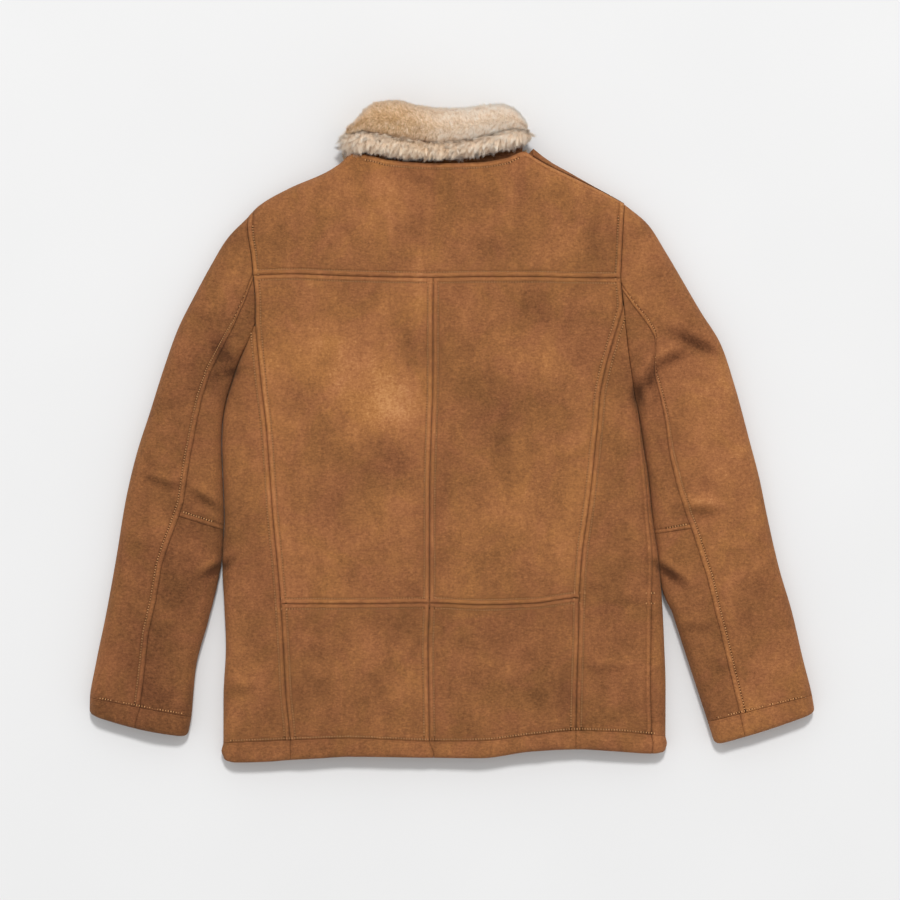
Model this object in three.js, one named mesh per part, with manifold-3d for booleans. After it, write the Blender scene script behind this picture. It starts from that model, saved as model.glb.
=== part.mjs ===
// Shearling coat laid flat on a table with its back up, in millimetres.
// +Z is up, +Y runs from the hem to the collar, and +X is to the right of someone looking down on the coat.
// Each panel is one wall of skin and wool: its outer face is the suede, its inner face the clipped wool.
import * as THREE from "three";
import { mergeVertices } from "three/addons/utils/BufferGeometryUtils.js";
import Module from "manifold-3d";

const wasm = await Module();
wasm.setup();

const WALL = 13; // skin and clipped wool
const SLIT = 3; // air between the back and the front, wool to wool
const FOLD_R = WALL + SLIT / 2; // outside of a side, shoulder or sleeve fold
const SNAP = 0.02; // a point nearer than this to a fold's edge lies on it
const WELD = 0.002; // points nearer than this to each other are one
const SLIT_R = SLIT / 2; // inside of the same fold
const HALF_GAP = 0.15; // each piece's share of the gap at a seam
const ARMHOLE_GAP = 0.85; // sleeve's share of it at the curved armhole
const SHOULDER_GAP = 1.1; // each piece's share of it at the shoulder seams
const SLEEVE_GAP = 1; // sleeve's inner fold to the body's side fold, where they lie side by side
const SEAM_DIP = 1.6; // suede pulled down at a seam
const SEAM_EASE = 8; // width over which it rises again
const RIM_ROUND = 4; // rounding of a turned edge at the hem, cuffs and neck
const RIM_REACH = 9; // width of that rounding
const PITCH = 30; // largest step between points of the back
const UNDER_PITCH = 44; // largest step on the underside
const CHEST_PITCH = 34; // largest step where the front lies over the collar's ends
const CHEST_Y = 130; // from this height up

const YOKE_Y = 197; // nominal height of the yoke seam
const WAIST_Y = -219;
const HEM_SEAM_Y = -393;
const HEM_EDGE_Y = -418;
const YOKE_FADE = 60; // the yoke seam's strays fade out over this height above it
const SHOULDER_FROM = YOKE_Y + 20; // above this height the nearest fold is the shoulder's
const SIDE_TOP = { left: 133, right: 162 }; // the curved back seams meet the armholes here
const OPEN_TOP = { left: 122, right: 62 }; // the armpit starts to close here
const OPEN_END = { left: 92, right: 30 }; // and is a closed fold from here down

const BODY_CROWN = 6; // rise of the middle of the back
const CROWN_END = { y: YOKE_Y + 171, ease: 60 }; // it fades out below this height
const SLEEVE_CROWN = 4; // rise of the middle of a sleeve
const LEAF_THICK = 10; // front end of the collar, pressed flat under the coat
const LEAF_LIFT = LEAF_THICK + 0.4; // what lies on it is this much higher
const LEAF_RAMP = { middleX: -22, outX: 211, lowY: 138, width: 90 }; // where the coat comes down beside them
const LAP = { left: -42, right: 18 }; // the fronts overlap between these, over the buttons
const LAP_WALL = 9; // each front's wall there, pressed by the other
const LAP_LIFT = LAP_WALL + 0.3; // height of the upper front over the lower one
const LAP_RISE = LAP_LIFT + LAP_WALL - WALL; // what the overlap adds to the stack
const LAP_EDGES = { upper: 9, upperEase: 7.5, lower: 3.5, lowerEase: 3 }; // where the overlap starts to press
const LAP_SWELL = { from: -76, to: 52, ease: 26, neckY: 330, neckEase: 30 }; // rise of the back over it

// Vertical lines of the body at heights from the shoulder to the hem. Left and right are the armholes' edges
// above the armpits, and the side folds below them. Side is how far the right side seam lies past the fold on
// the back, measured along the cloth; the left side seam lies as far past its fold on the underside.
const BODY_LINES = [
  { y: 290, left: -259.5, princessLeft: -259.5, centre: -24, princessRight: 220.6, right: 220.6, side: 0 },
  { y: 276, left: -260.6, princessLeft: -260.6, centre: -24, princessRight: 219.5, right: 219.5, side: 0 },
  { y: 262, left: -261.2, princessLeft: -261.2, centre: -24, princessRight: 218.7, right: 218.7, side: 0 },
  { y: 250, left: -260.4, princessLeft: -260.4, centre: -24, princessRight: 218, right: 218, side: 0 },
  { y: 238, left: -258.6, princessLeft: -258.6, centre: -24, princessRight: 217.4, right: 217.4, side: 0 },
  { y: 225, left: -256.6, princessLeft: -256.6, centre: -24, princessRight: 216.8, right: 216.8, side: 0 },
  { y: 211, left: -255.1, princessLeft: -255.1, centre: -24, princessRight: 216, right: 216, side: 0 },
  { y: 197, left: -254, princessLeft: -254, centre: -24, princessRight: 215.6, right: 215.6, side: 0 },
  { y: 182, left: -252.4, princessLeft: -252.4, centre: -24.1, princessRight: 217, right: 217, side: 0 },
  { y: 162, left: -251.2, princessLeft: -251.2, centre: -24.3, princessRight: 218.4, right: 219.4, side: 0 },
  { y: 140, left: -251.4, princessLeft: -251.2, centre: -24.4, princessRight: 213, right: 221.3, side: 0 },
  { y: 131, left: -253.4, princessLeft: -250.6, centre: -24.4, princessRight: 210.4, right: 222, side: 0 },
  { y: 120, left: -257.4, princessLeft: -249.6, centre: -24.4, princessRight: 206.8, right: 223.2, side: 0 },
  { y: 107, left: -264, princessLeft: -248.4, centre: -24.4, princessRight: 203.4, right: 224.5, side: 0 },
  { y: 92, left: -271.5, princessLeft: -247, centre: -24.4, princessRight: 199, right: 226.5, side: 0 },
  { y: 62, left: -282, princessLeft: -244, centre: -24.5, princessRight: 192, right: 231, side: 0 },
  { y: 43, left: -288, princessLeft: -241.8, centre: -24.8, princessRight: 188.6, right: 234.2, side: 1 },
  { y: 30, left: -291, princessLeft: -240, centre: -25.4, princessRight: 187.6, right: 237.5, side: 2 },
  { y: 8, left: -294, princessLeft: -237.6, centre: -26.3, princessRight: 186, right: 241.3, side: 4 },
  { y: -16, left: -294.8, princessLeft: -235.4, centre: -27, princessRight: 183.5, right: 244.6, side: 8 },
  { y: -64, left: -293.2, princessLeft: -232, centre: -28.4, princessRight: 178.8, right: 252, side: 11 },
  { y: -110, left: -291.6, princessLeft: -228.6, centre: -28.7, princessRight: 173, right: 256.5, side: 12.5 },
  { y: -165, left: -293.4, princessLeft: -223.2, centre: -28.7, princessRight: 165.8, right: 263.8, side: 16 },
  { y: -219, left: -290.5, princessLeft: -218.6, centre: -29, princessRight: 162.5, right: 268, side: 22.5 },
  { y: -273, left: -288.6, princessLeft: -215.4, centre: -30.7, princessRight: 161.3, right: 270.6, side: 26 },
  { y: -334, left: -292.2, princessLeft: -212.2, centre: -29.7, princessRight: 159.4, right: 272.6, side: 28.5 },
  { y: -393, left: -293, princessLeft: -206.8, centre: -28.7, princessRight: 158.3, right: 273.2, side: 27 },
  { y: -418, left: -285, princessLeft: -205.8, centre: -22, princessRight: 158.1, right: 269, side: 26 },
];

// Cross seams of the body: how far each one strays from its nominal height, from left to right.
const CROSS_LINES = [
  { x: -294, yoke: 0.5, waist: -1, hemSeam: -5, hemEdge: -4 },
  { x: -262, yoke: 1.5, waist: -1, hemSeam: -3.5, hemEdge: -3.5 },
  { x: -238, yoke: 3.5, waist: -1, hemSeam: -2.5, hemEdge: -3 },
  { x: -206, yoke: 4, waist: -1, hemSeam: -1, hemEdge: -2 },
  { x: -170, yoke: 2.6, waist: -1, hemSeam: 0.5, hemEdge: 0 },
  { x: -132, yoke: 1, waist: -1, hemSeam: 1.5, hemEdge: 2 },
  { x: -26, yoke: -1, waist: 0, hemSeam: -2.5, hemEdge: 1 },
  { x: 38, yoke: 0, waist: -2.3, hemSeam: -1.9, hemEdge: 0.5 },
  { x: 103, yoke: 0, waist: -0.5, hemSeam: 5.8, hemEdge: 9 },
  { x: 160, yoke: -0.8, waist: 6.5, hemSeam: 11, hemEdge: 12.5 },
  { x: 214, yoke: -1, waist: 6, hemSeam: 9.3, hemEdge: 10.5 },
  { x: 274, yoke: -1, waist: 6, hemSeam: 4, hemEdge: 8 },
];

// Top of the coat from left to right: the silhouette of the shoulder folds and back neck, the edge of the yoke,
// and how far the top is a closed fold rather than an open neck.
const TOP_LINE = [
  { x: -262, fold: 273.5, yoke: 273.5, closed: 1 },
  { x: -247, fold: 288, yoke: 288, closed: 1 },
  { x: -209, fold: 310, yoke: 310, closed: 1 },
  { x: -160, fold: 331, yoke: 331, closed: 1 },
  { x: -141, fold: 344, yoke: 344, closed: 0.85 },
  { x: -128, fold: 355, yoke: 355, closed: 0.3 },
  { x: -104, fold: 352, yoke: 352, closed: 0 },
  { x: -81, fold: 346, yoke: 346, closed: 0 },
  { x: -25, fold: 342, yoke: 342, closed: 0 },
  { x: 32, fold: 343, yoke: 343, closed: 0 },
  { x: 69, fold: 351, yoke: 348.5, closed: 0 },
  { x: 92, fold: 367, yoke: 357, closed: 0.3 },
  { x: 106, fold: 360, yoke: 349, closed: 0.85 },
  { x: 121, fold: 348, yoke: 340.5, closed: 1 },
  { x: 150, fold: 331, yoke: 327, closed: 1 },
  { x: 179, fold: 314.4, yoke: 313.7, closed: 1 },
  { x: 208, fold: 298, yoke: 298, closed: 1 },
  { x: 224, fold: 288, yoke: 288, closed: 1 },
];
const STRIP_FROM = 96; // the right front's shoulder strip lies to the right of this
const SHOULDER_COS = 0.87; // square distance to a shoulder fold for each millimetre of height below it

// Neckline of the fronts, hidden under the yoke.
const FRONT_NECK = [
  { x: -130, y: 349 },
  { x: -112, y: 326 },
  { x: -88, y: 309 },
  { x: -55, y: 295 },
  { x: -12, y: 288 },
  { x: 22, y: 292 },
  { x: 52, y: 304 },
  { x: 75, y: 324 },
  { x: 94, y: 354 },
];

// Sleeves from the armhole to the cuff's edge. Each row is a line across the sleeve, from the outer fold to
// the inner fold. Seam is the share of it at which the back seam crosses, and sag bends it towards the hand.
const SLEEVES = {
  left: [
    { outerX: -260.5, outerY: 275, innerX: -264, innerY: 107, seam: 0.51, sag: 0 },
    { outerX: -287, outerY: 246, innerX: -270, innerY: 96, seam: 0.69, sag: 0 },
    { outerX: -310, outerY: 209, innerX: -276, innerY: 83, seam: 0.7, sag: 0 },
    { outerX: -332, outerY: 170, innerX: -281, innerY: 67, seam: 0.69, sag: 0 },
    { outerX: -351, outerY: 132, innerX: -287, innerY: 48, seam: 0.67, sag: 0 },
    { outerX: -369, outerY: 82, innerX: -292, innerY: 22, seam: 0.65, sag: 0 },
    { outerX: -387, outerY: 25, innerX: -294.5, innerY: -20, seam: 0.63, sag: 0 },
    { outerX: -404, outerY: -28, innerX: -293, innerY: -72, seam: 0.6, sag: 0 },
    { outerX: -418, outerY: -87, innerX: -291, innerY: -126, seam: 0.55, sag: 0 },
    { outerX: -430, outerY: -160, innerX: -299, innerY: -187, seam: 0.45, sag: 0 },
    { outerX: -443, outerY: -232, innerX: -313, innerY: -245, seam: 0.46, sag: 0 },
    { outerX: -456, outerY: -295, innerX: -328, innerY: -302, seam: 0.5, sag: 0 },
    { outerX: -464, outerY: -340, innerX: -334, innerY: -365, seam: 0.5, sag: 0 },
    { outerX: -462, outerY: -358, innerX: -341, innerY: -386, seam: 0.48, sag: 6 },
  ],
  right: [
    { outerX: 221.5, outerY: 289, innerX: 234.5, innerY: 42, seam: 0.45, sag: 0 },
    { outerX: 250, outerY: 264, innerX: 236.5, innerY: 33, seam: 0.5, sag: 0 },
    { outerX: 273, outerY: 229, innerX: 239.5, innerY: 20, seam: 0.52, sag: 0 },
    { outerX: 294, outerY: 193, innerX: 242.5, innerY: 4, seam: 0.63, sag: 0 },
    { outerX: 318, outerY: 152, innerX: 245, innerY: -16, seam: 0.69, sag: 0 },
    { outerX: 343, outerY: 112, innerX: 248, innerY: -38, seam: 0.73, sag: 0 },
    { outerX: 361, outerY: 58, innerX: 251.5, innerY: -62, seam: 0.75, sag: 0 },
    { outerX: 380, outerY: -12, innerX: 254.5, innerY: -85, seam: 0.74, sag: 0 },
    { outerX: 393, outerY: -62, innerX: 256, innerY: -109, seam: 0.71, sag: 0 },
    { outerX: 402.5, outerY: -109, innerX: 258, innerY: -131, seam: 0.67, sag: 0 },
    { outerX: 418, outerY: -175, innerX: 265, innerY: -185, seam: 0.61, sag: 0 },
    { outerX: 434, outerY: -230, innerX: 279, innerY: -230, seam: 0.63, sag: 0 },
    { outerX: 448, outerY: -290, innerX: 299, innerY: -290, seam: 0.65, sag: 0 },
    { outerX: 460, outerY: -337, innerX: 327, innerY: -371, seam: 0.69, sag: 0 },
    { outerX: 462.5, outerY: -357, innerX: 341, innerY: -396, seam: 0.73, sag: 3 },
  ],
};
const ELBOW = { left: 8, right: 9 }; // row of the elbow seam
const CUFF = { left: 12, right: 13 }; // row of the cuff seam
const BESIDE_END = { left: -181, right: -190 }; // the sleeve leaves the body's side below this height
const SLEEVE_FINE = 4; // rows of the sleeve below this one get a step between them
const SQUARE_LEAST = 0.35; // a line across counts as no more slanted to a fold than this
const ROW_GAP = 0.006; // half of a seam's gap, as a share of a row
const END_ROW = 22; // length of the last row, along the sleeve
const FRONT_SEAM_IN = 34; // front sleeve seam, on the underside, in from the inner fold

// Largest creases: troughs pressed into the suede, or ridges where the depth is negative. Turn is in degrees.
const CREASES = [
  { x: -373, y: -66, turn: -19, length: 42, width: 12, depth: 4 },
  { x: -314, y: -88, turn: -30, length: 50, width: 12, depth: 4.5 },
  { x: -292, y: 70, turn: -78, length: 75, width: 14, depth: 4 },
  { x: -306, y: -177, turn: 28, length: 30, width: 9, depth: 3 },
  { x: 280, y: 103, turn: 30, length: 52, width: 12, depth: 6 },
  { x: 315, y: 110, turn: -23, length: 34, width: 10, depth: 4 },
  { x: 317, y: -102, turn: -4, length: 36, width: 9, depth: 4 },
  { x: 330, y: -88, turn: -10, length: 36, width: 12, depth: -3 },
  { x: 282, y: -186, turn: -34, length: 40, width: 10, depth: 5 },
  { x: 312, y: -252, turn: 0, length: 44, width: 11, depth: 3 },
  { x: 150, y: -37, turn: 19, length: 52, width: 14, depth: 2 },
  { x: 183, y: 262, turn: 80, length: 60, width: 18, depth: 2.5 },
  { x: -173, y: -319, turn: -36, length: 76, width: 16, depth: 2 },
];

// Collar at the back neck from left to right: places of the fur's lower edge, the crease between its two rolls,
// and its crest. Size is the thickness of the rolls, less towards their rounded ends.
const COLLAR_LINES = [
  { x: -142, lower: 367, crease: 375, crest: 381, size: 0.45 },
  { x: -136, lower: 360.5, crease: 382, crest: 392, size: 0.72 },
  { x: -127, lower: 358, crease: 384, crest: 398, size: 0.88 },
  { x: -112, lower: 357.5, crease: 382.5, crest: 411, size: 0.97 },
  { x: -95, lower: 356.5, crease: 378.5, crest: 421, size: 1 },
  { x: -72, lower: 352, crease: 374.5, crest: 422.5, size: 1 },
  { x: -44, lower: 349.5, crease: 369.5, crest: 416.5, size: 1 },
  { x: -14, lower: 349.5, crease: 366.5, crest: 412.5, size: 1 },
  { x: 16, lower: 350, crease: 368.5, crest: 413, size: 1 },
  { x: 44, lower: 354.5, crease: 375.5, crest: 417, size: 1 },
  { x: 66, lower: 361, crease: 381.5, crest: 417.5, size: 1 },
  { x: 82, lower: 365.5, crease: 386, crest: 410, size: 0.95 },
  { x: 92, lower: 369, crease: 388, crest: 400, size: 0.85 },
  { x: 98, lower: 373, crease: 386, crest: 392, size: 0.7 },
  { x: 102, lower: 377.5, crease: 383, crest: 386, size: 0.45 },
];
const ROLL_TOP = 60; // height of the upper roll
const EDGE_TOP = 56; // height of the lower roll
const CREASE_TOP = 45; // bottom of the crease between them
const STAND_TOP = 28; // height of the layer under both rolls
const FUR_GAP = 3; // air between the upper roll's two layers, which meet in a fold of this size
const ROLL_SHARE = 0.7; // largest share of the upper roll's depth that its round crest takes
const STAND_SHARE = 0.3; // the stand reaches this far from the crease towards that round crest
const SHOULDER_SHARE = 0.45; // the upper roll is full from this far between them
const HOLLOW_SHARE = 0.1; // depth of the fold's end, as a share of the crest's radius
const STAND_FOOT = 12; // the stand turns up this far from the neck seam
const ROLL_END = { left: -136, right: 98 };
const EDGE_END = { left: -142, right: 102 };
const STAND_ENDS = { left: -124, right: 90 };
const COLLAR_PITCH = 16; // largest step along the collar

const BUTTONS = [{ y: 122 }, { y: 20 }, { y: -82 }, { y: -184 }];
const BUTTON_X = -12;
const BUTTON_R = 13.5;
const BUTTON_THICK = 3.8;
const HOLE_OUT = 2.4; // thread holes: off the centre, across and up
const HOLE_R = 1.2;
const BUTTON_SIDES = 16;
const HOLE_SIDES = 5;
const POCKET_CLEAR = 0.35;
const POCKET_DEEP = 10; // cutter's length, most of it below the coat
const POCKET_SIDES = 24;

const lerp = THREE.MathUtils.lerp;
const clamp01 = (t) => THREE.MathUtils.clamp(t, 0, 1);
const smooth = (t) => THREE.MathUtils.smoothstep(t, 0, 1);
const vec = (x, y, z) => new THREE.Vector3(x, y, z);

// Value of a table's column where its key column, which rises or falls down the rows, has the given value.
function lookUp(table, key, column, at) {
  const falls = table[0][key] > table[1][key];
  let i = table.findIndex((row) => (falls ? row[key] <= at : row[key] >= at));
  i = i < 0 ? table.length - 1 : Math.max(1, i);
  const [a, b] = [table[i - 1], table[i]];
  return lerp(a[column], b[column], clamp01((at - a[key]) / (b[key] - a[key])));
}

const bodyLine = (name, y) => lookUp(BODY_LINES, "y", name, y);
const foldTop = (x) => lookUp(TOP_LINE, "x", "fold", x);

// Straight steps from a to b, none longer than pitch.
function steps(a, b, pitch) {
  const count = Math.max(1, Math.ceil(Math.abs(b - a) / pitch));
  return Array.from({ length: count + 1 }, (_, i) => lerp(a, b, i / count));
}

// The heights of BODY_LINES between two limits, with steps between them.
function heights(from, to, pitch) {
  const stops = [from, ...BODY_LINES.map((row) => row.y).filter((y) => y < from && y > to), to];
  return stops.flatMap((y, i) => (i ? steps(stops[i - 1], y, pitch).slice(1) : [y]));
}

// Height in the plan of a body point: its nominal height, moved with the cross seams above and below it.
function bodyY(x, y) {
  const levels = [
    ["yoke", YOKE_Y],
    ["waist", WAIST_Y],
    ["hemSeam", HEM_SEAM_Y],
    ["hemEdge", HEM_EDGE_Y],
  ];
  const stray = (name) => lookUp(CROSS_LINES, "x", name, x);
  if (y >= YOKE_Y) return y + stray("yoke") * clamp01(1 - (y - YOKE_Y) / YOKE_FADE);
  const i = levels.findIndex(([, level]) => level <= y + 1e-9);
  const [above, top] = levels[i - 1];
  const [below, bottom] = levels[i];
  return y + lerp(stray(above), stray(below), (top - y) / (top - bottom));
}

// Depth of the creases at a place of the plan.
function creaseDepth(x, y) {
  return CREASES.reduce((sum, fold) => {
    const turn = THREE.MathUtils.degToRad(fold.turn);
    const along = (x - fold.x) * Math.cos(turn) + (y - fold.y) * Math.sin(turn);
    const across = (y - fold.y) * Math.cos(turn) - (x - fold.x) * Math.sin(turn);
    return sum + fold.depth * Math.exp(-((along / (fold.length / 2)) ** 2) - (across / fold.width) ** 2);
  }, 0);
}

// How closed the armpit's fold is at a height: 0 in the armhole and 1 below it.
const armpitClosed = (side, y) => smooth((OPEN_TOP[side] - y) / (OPEN_TOP[side] - OPEN_END[side]));

// Lift of the coat over the collar's front ends.
function leafLift(x, y) {
  const across = smooth((LEAF_RAMP.outX - Math.abs(x - LEAF_RAMP.middleX)) / LEAF_RAMP.width);
  return LEAF_LIFT * across * smooth((y - LEAF_RAMP.lowY) / LEAF_RAMP.width);
}

// Nearest fold of the body: its square distance, the way in from it, and how closed it is.
function bodyFold(x, y, row) {
  if (y > YOKE_Y + 20) {
    const depth = (foldTop(x) - y) * SHOULDER_COS;
    return { depth, inX: 0, inY: -1 / SHOULDER_COS, closed: lookUp(TOP_LINE, "x", "closed", x) };
  }
  const left = x - bodyLine("left", row);
  const right = bodyLine("right", row) - x;
  return left < right
    ? { depth: left, inX: 1, inY: 0, closed: armpitClosed("left", row) }
    : { depth: right, inX: -1, inY: 0, closed: armpitClosed("right", row) };
}

// A wall's shape near a fold of radius FOLD_R: flat is 1 away from it and 0 at its edge, and into is the reverse.
function foldShape(fold) {
  const depth = fold.depth < SNAP ? 0 : fold.depth;
  const into = fold.closed > 0 ? clamp01(1 - depth / FOLD_R) : 0;
  return { into: into * fold.closed, flat: 1 - fold.closed * (1 - Math.sqrt(1 - into * into)) };
}

// Distance in from a fold's edge of a point at the given length along the cloth from that edge.
function foldReach(path) {
  const quarter = (Math.PI / 2) * FOLD_R;
  return path < quarter ? FOLD_R * (1 - Math.cos(path / FOLD_R)) : FOLD_R + path - quarter;
}

// Share of the rise over the front overlap at a place of the plan.
const lapShare = (x, y) =>
  smooth((x - LAP_SWELL.from) / LAP_SWELL.ease) *
  smooth((LAP_SWELL.to - x) / LAP_SWELL.ease) *
  smooth((LAP_SWELL.neckY - y) / LAP_SWELL.neckEase);

// Outer and inner point of the back layer at a place of the plan. Row is its nominal height, and drop lowers the suede.
function backPoint(x, y, row, drop = 0) {
  const fold = bodyFold(x, y, row);
  const { into, flat } = foldShape(fold);
  const middle = FOLD_R + leafLift(x, y);
  const left = bodyLine("left", row);
  const q = clamp01((x - left) / (bodyLine("right", row) - left)) * 2 - 1;
  const crown = BODY_CROWN * (1 - q ** 4) * flat * smooth((CROWN_END.y - y) / CROWN_END.ease);
  const relief = (creaseDepth(x, y) + drop) * flat;
  return {
    outer: vec(x, y, middle + FOLD_R * flat + crown - relief),
    inner: vec(
      x + fold.inX * into * WALL,
      y + fold.inY * into * WALL,
      middle + SLIT_R * flat + LAP_RISE * lapShare(x, y),
    ),
  };
}

// The same for the front layer on the underside. Lap is left for the outermost front and right for the upper one.
function frontPoint(x, y, row, lap, raise = 0) {
  const fold = bodyFold(x, y, row);
  const { into, flat } = foldShape(fold);
  const middle = FOLD_R + leafLift(x, y);
  const over = smooth((LAP.right + LAP_EDGES.upper - x) / LAP_EDGES.upperEase);
  const under = smooth((x - LAP.left + LAP_EDGES.lower) / LAP_EDGES.lowerEase);
  const lift = lap === "right" ? LAP_LIFT * over : 0;
  const top = lap === "right" ? LAP_RISE * over : -(WALL - LAP_WALL) * under;
  return {
    outer: vec(x, y, middle - FOLD_R * flat + lift + raise * flat),
    inner: vec(x + fold.inX * into * WALL, y + fold.inY * into * WALL, middle - SLIT_R * flat + top),
  };
}

// Places a rim's points in order, from the hem up, and from left to right where they lie level.
const rimOrder = (p) => p.y + p.x / 100;

// Closed solid from sheets of points, each a list of rows. A sheet seen from outside has its rows going up and its
// columns going right. Sheets that share points are joined there, and each free edge gets a rim.
function thicken(sheets) {
  const ids = new Map();
  const points = [];
  const faces = [];
  const key = (p) => [p.x, p.y, p.z].map((n) => Math.round(n / WELD)).join();
  const idOf = (corner) => {
    const name = key(corner.outer) + "/" + key(corner.inner);
    if (!ids.has(name)) {
      ids.set(name, points.length / 2);
      points.push(corner.outer, corner.inner);
    }
    return ids.get(name);
  };
  for (const sheet of sheets)
    for (let r = 0; r + 1 < sheet.length; r++)
      for (let c = 0; c + 1 < sheet[r].length; c++) {
        const [a, b] = [idOf(sheet[r][c]), idOf(sheet[r][c + 1])];
        const [d, e] = [idOf(sheet[r + 1][c + 1]), idOf(sheet[r + 1][c])];
        if (a !== b && b !== d && a !== d) faces.push([a, b, d]);
        if (a !== d && d !== e && a !== e) faces.push([a, d, e]);
      }
  const used = new Set(faces.flatMap(([a, b, c]) => [a + ">" + b, b + ">" + c, c + ">" + a]));
  const triangles = [];
  for (const [a, b, c] of faces) {
    triangles.push([2 * a, 2 * b, 2 * c], [2 * a + 1, 2 * c + 1, 2 * b + 1]);
    for (const [i, j] of [[a, b], [b, c], [c, a]])
      if (!used.has(j + ">" + i)) {
        // Rims that face each other over a seam are split along the same diagonal, so they don't cross.
        if (rimOrder(points[2 * i]) > rimOrder(points[2 * j]))
          triangles.push([2 * i, 2 * i + 1, 2 * j + 1], [2 * i, 2 * j + 1, 2 * j]);
        else triangles.push([2 * j, 2 * i, 2 * i + 1], [2 * j, 2 * i + 1, 2 * j + 1]);
      }
  }
  return closedGeometry(points, triangles);
}

function closedGeometry(points, triangles) {
  const geometry = new THREE.BufferGeometry();
  const numbers = points.flatMap((p) => p.toArray());
  geometry.setAttribute("position", new THREE.Float32BufferAttribute(numbers, 3));
  geometry.setIndex(triangles.flat());
  return geometry;
}

// Closed solid through rings of points of the same length, with a flat cap on each end.
function loft(rings, capPlane) {
  const n = rings[0].length;
  const triangles = [];
  for (let r = 0; r + 1 < rings.length; r++)
    for (let i = 0; i < n; i++) {
      const j = (i + 1) % n;
      const [a, b, c, d] = [r * n + i, r * n + j, (r + 1) * n + j, (r + 1) * n + i];
      triangles.push([a, b, c], [a, c, d]);
    }
  const cap = THREE.ShapeUtils.triangulateShape(rings[0].map(capPlane), []);
  const last = (rings.length - 1) * n;
  for (const [a, b, c] of cap) triangles.push([a, c, b], [last + a, last + b, last + c]);
  return closedGeometry(rings.flat(), triangles);
}

const coat = new THREE.Group();
const SUEDE = { color: 0x915c3a, roughness: 0.95, metalness: 0 };
const WOOL = { color: 0xd3b598, roughness: 1, metalness: 0 };
const HORN = { color: 0x2a1c12, roughness: 0.45, metalness: 0 };

function addPiece(name, geometry, finish) {
  const mesh = new THREE.Mesh(geometry, new THREE.MeshStandardMaterial(finish));
  mesh.name = name;
  coat.add(mesh);
  return mesh;
}

// Rows and columns of a sheet from a function of row and column values.
const sheetOf = (rows, columns, point) => rows.map((row) => columns.map((column) => point(column, row)));

// Drop of the suede at a distance from a seam, and at a turned edge.
const seamDrop = (distance) => SEAM_DIP * (1 - smooth(distance / SEAM_EASE));
const rimDrop = (distance) => RIM_ROUND * (1 - Math.sqrt(1 - clamp01(1 - distance / RIM_REACH) ** 2));

// Shares across a panel of the given width: steps, and one more at each side where the suede dips to the seam.
function panelShares(width, pitch) {
  const edge = SEAM_EASE / width;
  return [0, ...steps(edge, 1 - edge, pitch / width), 1];
}

// A panel of the back between two vertical lines and two heights.
function backPanel(lineA, lineB, topY, bottomY) {
  const width = bodyLine(lineB, WAIST_Y) - bodyLine(lineA, WAIST_Y);
  const shares = panelShares(width, PITCH);
  const levels = heights(topY, bottomY, PITCH);
  const rows = new Set([...levels, levels[0] - SEAM_EASE, levels.at(-1) + SEAM_EASE]);
  return sheetOf([...rows].sort((a, b) => a - b), shares, (share, row) => {
    const inset = row === topY ? -HALF_GAP : row === bottomY ? HALF_GAP : 0;
    const [a, b] = [bodyLine(lineA, row) + HALF_GAP, bodyLine(lineB, row) - HALF_GAP];
    const x = lerp(a, b, share);
    const near = Math.min(share * width, (1 - share) * width, topY - row, row - bottomY);
    const atHem = bottomY === HEM_EDGE_Y ? rimDrop(row - bottomY) : 0;
    const seams = bottomY === HEM_EDGE_Y ? Math.min(share * width, (1 - share) * width, topY - row) : near;
    return backPoint(x, bodyY(x, row) + inset, row, seamDrop(seams) + atHem);
  });
}


// A point of a wall moved half a seam's gap towards a neighbour of it.
function slide(point, towards, gap = HALF_GAP) {
  const step = towards.outer.clone().sub(point.outer).setLength(gap);
  return { outer: point.outer.clone().add(step), inner: point.inner.clone().add(step) };
}

const quarterTurn = (Math.PI / 2) * FOLD_R;
const NARROW_BEND = 0.6; // share of a narrow panel that its bend takes
const BEND_CLEAR = 6; // least length of cloth between a seam by a fold and the end of the bend
const SEAM_LEAST = 2; // a seam by a fold lies at least this far past its edge
const FOLD_STEPS = [0, 1 / 3, 2 / 3, 1].map((t) => t * quarterTurn);

// How far past the fold's edge the side seam lies, along the cloth. It starts just under the armpit.
const sidePath = (row) => Math.max(bodyLine("side", row), SEAM_LEAST);

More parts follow.
